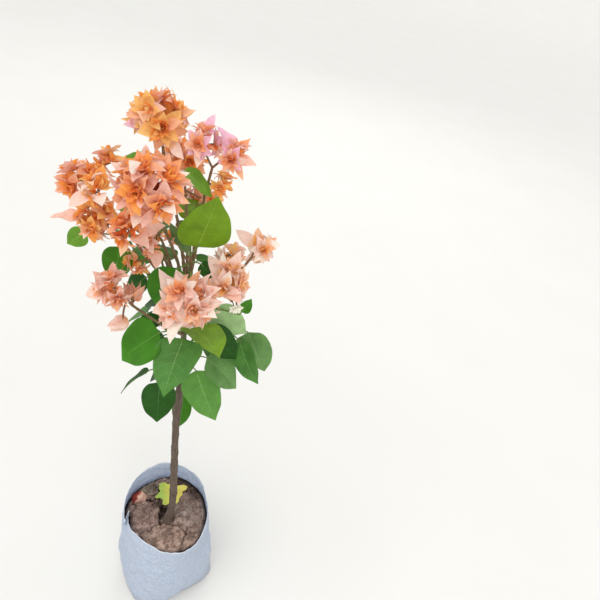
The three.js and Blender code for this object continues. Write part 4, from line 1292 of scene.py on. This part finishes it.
# Clods: place, half length, half breadth, turn in degrees and how high each stands
CLODS = [
    ((38, 1), 27, 36, 6, 4.6), ((-6, -42), 34, 22, -8, 3.2), ((32, -52), 15, 15, 20, 2.4),
    ((-36, -2), 22, 25, 10, 2.8), ((-28, 48), 16, 14, 30, 2.0), ((-6, 60), 15, 12, 0, 1.6),
    ((30, 52), 18, 12, -24, -2.5), ((-57, 20), 8, 12, 0, 0.0), ((-14, 27), 12, 12, 20, -2.0),
    ((10, 22), 12, 11, 60, -1.6), ((-52, -34), 11, 12, -40, 0.2), ((52, 44), 10, 10, 0, -1.0),
]
HOLLOW, HOLLOW_SIZE = (-11.0, -6.0), (4.6, 9.0)
SOIL_EDGE = 157.0
SOIL_RANGE = (-10.5, 6.5)
CRACK_DEPTH, HOLLOW_DEPTH = 5.0, 6.5
SOIL_RINGS, SOIL_SIDES = 150, 480
SKIRT = 140.0
CRUMB_SIZE = 6.5
CRUST_SEED, CRUMB_SEED, BRICK_SEED = 45, 51, 8


def gap_between(x, y, seeds):
    """How much further from each point its second nearest seed is than its nearest."""
    away = np.sort(np.hypot(x[..., None] - seeds[:, 0], y[..., None] - seeds[:, 1]), axis=-1)
    return away[..., 1] - away[..., 0]


def crumb_seeds():
    """Places of small crumbs: a grid of them, each moved a little."""
    random = np.random.default_rng(CRUST_SEED)
    across = np.arange(-72, 73, CRUMB_SIZE)
    grid = np.stack(np.meshgrid(across, across), axis=-1).reshape(-1, 2)
    return grid + random.uniform(-0.45, 0.45, grid.shape) * CRUMB_SIZE


def soil_height(x, y):
    """Clods side by side with cracks between them, and a hollow beside the trunk's foot."""
    ground = np.stack([x, y], axis=-1)
    warp_x, warp_y = x + 2.2 * ripple(41, ground, 15, 3), y + 2.2 * ripple(42, ground, 15, 3)
    off = []
    for (cx, cy), half, broad, turn, _ in CLODS:
        c, s = math.cos(math.radians(turn)), math.sin(math.radians(turn))
        dx, dy = warp_x - cx, warp_y - cy
        off.append(np.hypot((dx * c + dy * s) / half, (dy * c - dx * s) / broad))
    off = np.stack(off)
    order = np.argsort(off, axis=0)
    nearest, second = (np.take_along_axis(off, order[k][None], axis=0)[0] for k in (0, 1))
    top = np.array([row[4] for row in CLODS])[order[0]]
    height = top - 2.4 * nearest ** 3 - 4.0 * smoothstep(nearest, 1.0, 1.4)
    height = height - CRACK_DEPTH * np.exp(-((second - nearest) / 0.08) ** 2)
    gap = gap_between(warp_x * 0.6 + x * 0.4, warp_y * 0.6 + y * 0.4, crumb_seeds())
    height = height + 0.9 * smoothstep(gap, 0, 2.4) * (0.45 + 0.55 * smoothstep(nearest, 0.3, 0.9))
    near = np.hypot((x - HOLLOW[0]) / HOLLOW_SIZE[0], (y - HOLLOW[1]) / HOLLOW_SIZE[1])
    height = height - HOLLOW_DEPTH * np.exp(-near ** 2)
    foot = np.hypot(x - FOOT[0] + 4.0, y - FOOT[1])
    height = height + (np.maximum(height, 0.4) - height) * (1 - smoothstep(foot, 7, 13))
    height = height + 0.5 * ripple(43, ground, 7, 3) + 0.3 * ripple(44, ground, 2.6, 2)
    return SOIL_TOP + np.clip(height, *SOIL_RANGE)


def soil_outline(angle, level):
    """Where the cloth's inside is at a level, all the way round."""
    height = np.linspace(RIM_FROM, BAG_RIM_HEIGHT, 120)[:, None]
    inside = np.interp(height, WALL[:, 1], WALL[:, 0]) - BAG_CLOTH - 0.3 - pleat_room(angle)
    wall = cloth_point(inside, angle, height)
    return np.array([[np.interp(level, column[:, 2], column[:, k]) for k in (0, 1)]
                     for column in wall.swapaxes(0, 1)])


def build_soil():
    """The top of the soil as a fine sheet of clods, with a skirt that goes down inside the bag."""
    angle = round_about(SOIL_SIDES)
    outward = np.linspace(0.004, 1, SOIL_RINGS)[:, None]
    edge = soil_outline(angle, SOIL_EDGE)
    x, y = edge[:, 0] * outward, edge[:, 1] * outward
    rim = smoothstep(outward, 0.88, 1.0)
    z = soil_height(x, y) * (1 - rim) + SOIL_EDGE * rim
    skirt = np.column_stack([edge * 0.97, np.full(SOIL_SIDES, SKIRT)])
    sheet = np.vstack([np.stack([x, y, z], axis=-1), skirt[None]])
    heap = Heap()
    heap.add(sheet.reshape(-1, 3), grid_faces(len(sheet), SOIL_SIDES, closed=True))
    heap.piece("soil_clods", soil_look(), "soil", "soil")
    add_crumbs()


def lump(random, size, detail, cuts=7):
    """A small rough stone or crumb as points and triangles about its own middle."""
    made = bmesh.new()
    bmesh.ops.create_icosphere(made, subdivisions=detail, radius=1.0)
    made.verts.ensure_lookup_table()
    points = np.array([v.co for v in made.verts])
    faces = np.array([[v.index for v in f.verts] for f in made.faces])
    made.free()
    for _ in range(cuts):
        cut = unit(random.normal(size=3))
        over = np.clip(points @ cut - random.uniform(0.55, 0.85), 0, None)
        points = points - over[:, None] * cut
    return points * size * random.uniform(0.7, 1.3, 3), faces


CRUMBS_OUT = 58.0
CRUMBS = 230

# Small stones: place and size
STONES = [((16, -54), 2.1), ((-2, 62), 1.9), ((44, -22), 1.3), ((-33, -34), 1.2), ((12, 40), 1.5)]


def add_lump(heap, place, size, random):
    """One rough lump that sits a little into the soil."""
    points, faces = lump(random, size, 2 if size > 1.2 else 1)
    ground = float(soil_height(*(np.array([value], float) for value in place))[0])
    heap.add(points + [*place, ground + size * 0.25], triangles=faces)


def add_crumbs():
    """Loose crumbs of earth and a few small stones in the cracks and along the bag."""
    random = np.random.default_rng(CRUMB_SEED)
    crumbs, stones = Heap(), Heap()
    for _ in range(CRUMBS):
        out, turn = CRUMBS_OUT * math.sqrt(random.uniform(0.02, 1)), random.uniform(0, TAU)
        place = (out * math.cos(turn), out * math.sin(turn) * BAG_FRONT_BACK)
        add_lump(crumbs, place, 0.5 + 1.9 * random.uniform() ** 2, random)
    for place, size in STONES:
        add_lump(stones, place, size, random)
    crumbs.piece("soil_crumbs", plain_look("crumb", (132, 104, 92), 0.95, 400), "soil", smooth=False)
    stones.piece("small_stones", plain_look("small_stone", (184, 164, 150), 0.8, 300), "soil", smooth=False)


# The flat faces that the brick broke along: which way each looks and how far out it lies
BRICK_FACES = [
    ((1, -0.5, 0.5), 0.62), ((-1, -0.2, 0.3), 0.66), ((0.1, 1, 0.2), 0.62), ((-0.1, -0.2, 1), 0.5),
    ((0.2, -1, 0.1), 0.6), ((0.8, 0.7, 0.3), 0.68), ((-0.7, 0.6, 0.7), 0.6), ((0, 0, -1), 0.5),
    ((-0.5, -1, 0.5), 0.66),
]


def build_brick():
    """The lump of brick near the bag's left side, with flat broken faces."""
    points, faces = lump(np.random.default_rng(BRICK_SEED), 1.0, 5, cuts=0)
    for way, out in BRICK_FACES:
        way = unit(np.array(way, float))
        points = points - np.clip(points @ way - out, 0, None)[:, None] * way
    points = points / np.abs(points).max(0)
    points = points + 0.022 * ripple(61, points, 0.35, 3)[:, None] * points
    low, high = node_box("brick_clod")
    middle = (low + high) / 2
    heap = Heap()
    heap.add(middle + points * (high - low) / 2 * 1.04, triangles=faces)
    heap.piece("brick_lump", brick_look(middle, seen(1, -0.6, 0)), "brick", "brick_clod", smooth=False)


# The fallen leaf's points: which way each lies from its middle in degrees, how far out, how wide
LEAF_POINTS = [(14, 15, 16), (-60, 9, 18), (-116, 8, 17), (193, 9, 16), (132, 8, 24), (-22, 6, 18)]
LEAF_HEART = 15.0
LEAF_DRAPE = 1.2
FALLEN_RINGS, FALLEN_SIDES = 26, 144


def ground_under(sheet):
    """The soil's height under a sheet, smoothed over a few millimetres, with a little air on it."""
    x, y = sheet[..., 0], sheet[..., 1]
    near = [soil_height(x + 2.5 * math.cos(turn), y + 2.5 * math.sin(turn))
            for turn in round_about(6)[0]]
    return np.mean(near, axis=0) + 1.3


def build_fallen_leaf():
    """The yellowing leaf with its few blunt points that lies on the clods behind the trunk."""
    low, high = node_box("fallen_leaf")
    middle = np.array([(low[0] + high[0]) / 2 - 1, (low[1] + high[1]) / 2, low[2] + 1.6])
    angle, outward = round_about(FALLEN_SIDES), np.linspace(0, 1, FALLEN_RINGS)[:, None]
    reach = LEAF_HEART + bumps(LEAF_POINTS, angle) + 0.5 * np.sin(17 * angle) + 0.3 * np.sin(29 * angle + 1)
    x, y = reach * outward * np.cos(angle), reach * outward * np.sin(angle)
    ground = np.stack([x, y], axis=-1)
    z = 0.9 * ripple(71, ground, 24, 2) + 0.05 * np.abs(y) * outward - 0.008 * np.clip(-y, 0, None) ** 2
    heap, veins = Heap(), Heap()
    sheet = np.stack([x, y, z], axis=-1) + middle
    sheet[..., 2] = LEAF_DRAPE * np.logaddexp(sheet[..., 2] / LEAF_DRAPE, ground_under(sheet) / LEAF_DRAPE)
    heap.add(sheet.reshape(-1, 3), grid_faces(FALLEN_RINGS, FALLEN_SIDES, closed=True))
    for at, *_ in LEAF_POINTS[:5]:
        column = round(at % 360 / 360 * FALLEN_SIDES)
        add_limb(veins, sheet[[0, 8, 16, 23], column] + [0, 0, 0.15], taper((0.42, 0.12)), 6, 1.5)
    stalk = [middle + [0, 0, 0.2], middle + [-9, 6, 0.8], middle + [-15, 13, -0.5]]
    add_limb(veins, stalk, taper((0.5, 0.4)), 8, 1)
    heap.piece("fallen_blade", fallen_look(), "yellow_leaf", "fallen_leaf")
    veins.piece("fallen_veins", plain_look("fallen_vein", (222, 214, 120), 0.5), "yellow_leaf")


# Floor, light and camera

FLOOR_FLAT, FLOOR_END, FLOOR_SIDES = 9.0, 20.0, 96


def build_floor():
    """A pale floor that runs up all round into a pale wall, without a corner."""
    look = Look("floor", roughness=0.9, specular=0.1)
    look.colour(look.ramp(look.noise(3, 2), (0.0, (226, 224, 219)), (1.0, (231, 229, 225))))
    outward = np.concatenate([[0.01], np.linspace(FLOOR_FLAT, FLOOR_END, 28)])[:, None]
    angle = round_about(FLOOR_SIDES)
    height = 9.0 * ((outward - FLOOR_FLAT).clip(0) / (FLOOR_END - FLOOR_FLAT)) ** 2.5 - 0.0003
    points = points_at(outward * np.cos(angle), outward * np.sin(angle), height)
    faces = grid_faces(len(outward), FLOOR_SIDES, closed=True).tolist()
    put_in_scene("floor", new_mesh("floor", points, faces, look.material))


def add_light(name, kind, place, way, colour, power, **settings):
    """A light at a place that shines along a way."""
    data = bpy.data.lights.new(name, kind)
    data.color, data.energy = colour, power
    for key, value in settings.items():
        setattr(data, key, value)
    turn = way.to_track_quat("-Z", "Y").to_matrix().to_4x4()
    put_in_scene(name, data, Matrix.Translation(place) @ turn)


def build_lights():
    """Soft daylight from above and all round, a little stronger from the left."""
    add_light("sky", "SUN", (0, 0, 0), Vector((1.6, 1.2, -4.0)), (1.0, 0.985, 0.96), 1.3, angle=0.9)
    crown = Vector((0.0, 0.0, 0.55))
    for name, place, power in (("fill", Vector((0.3, -2.6, 1.5)), 14), ("back", Vector((0.9, 2.6, 2.4)), 16)):
        add_light(name, "AREA", place, crown - place, (1.0, 0.99, 0.97), power, shape="DISK", size=2.0)
    world = bpy.data.worlds.new("studio")
    bpy.context.scene.world = world
    world.use_nodes = True
    world.node_tree.nodes["Background"].inputs["Color"].default_value = (0.94, 0.97, 1.0, 1)
    world.node_tree.nodes["Background"].inputs["Strength"].default_value = 0.78
    bpy.context.scene.view_settings.view_transform = "Standard"


def build_camera():
    """The photograph's camera."""
    data = bpy.data.cameras.new("camera")
    data.lens, data.sensor_width = CAMERA_LENS, SENSOR
    data.clip_start, data.clip_end = 0.02, 60
    bpy.context.scene.camera = put_in_scene("camera", data, camera_pose())


build_camera()
build_floor()
build_lights()
build_plant()
build_bag()
build_soil()
build_brick()
build_fallen_leaf()

bpy.context.view_layer.update()
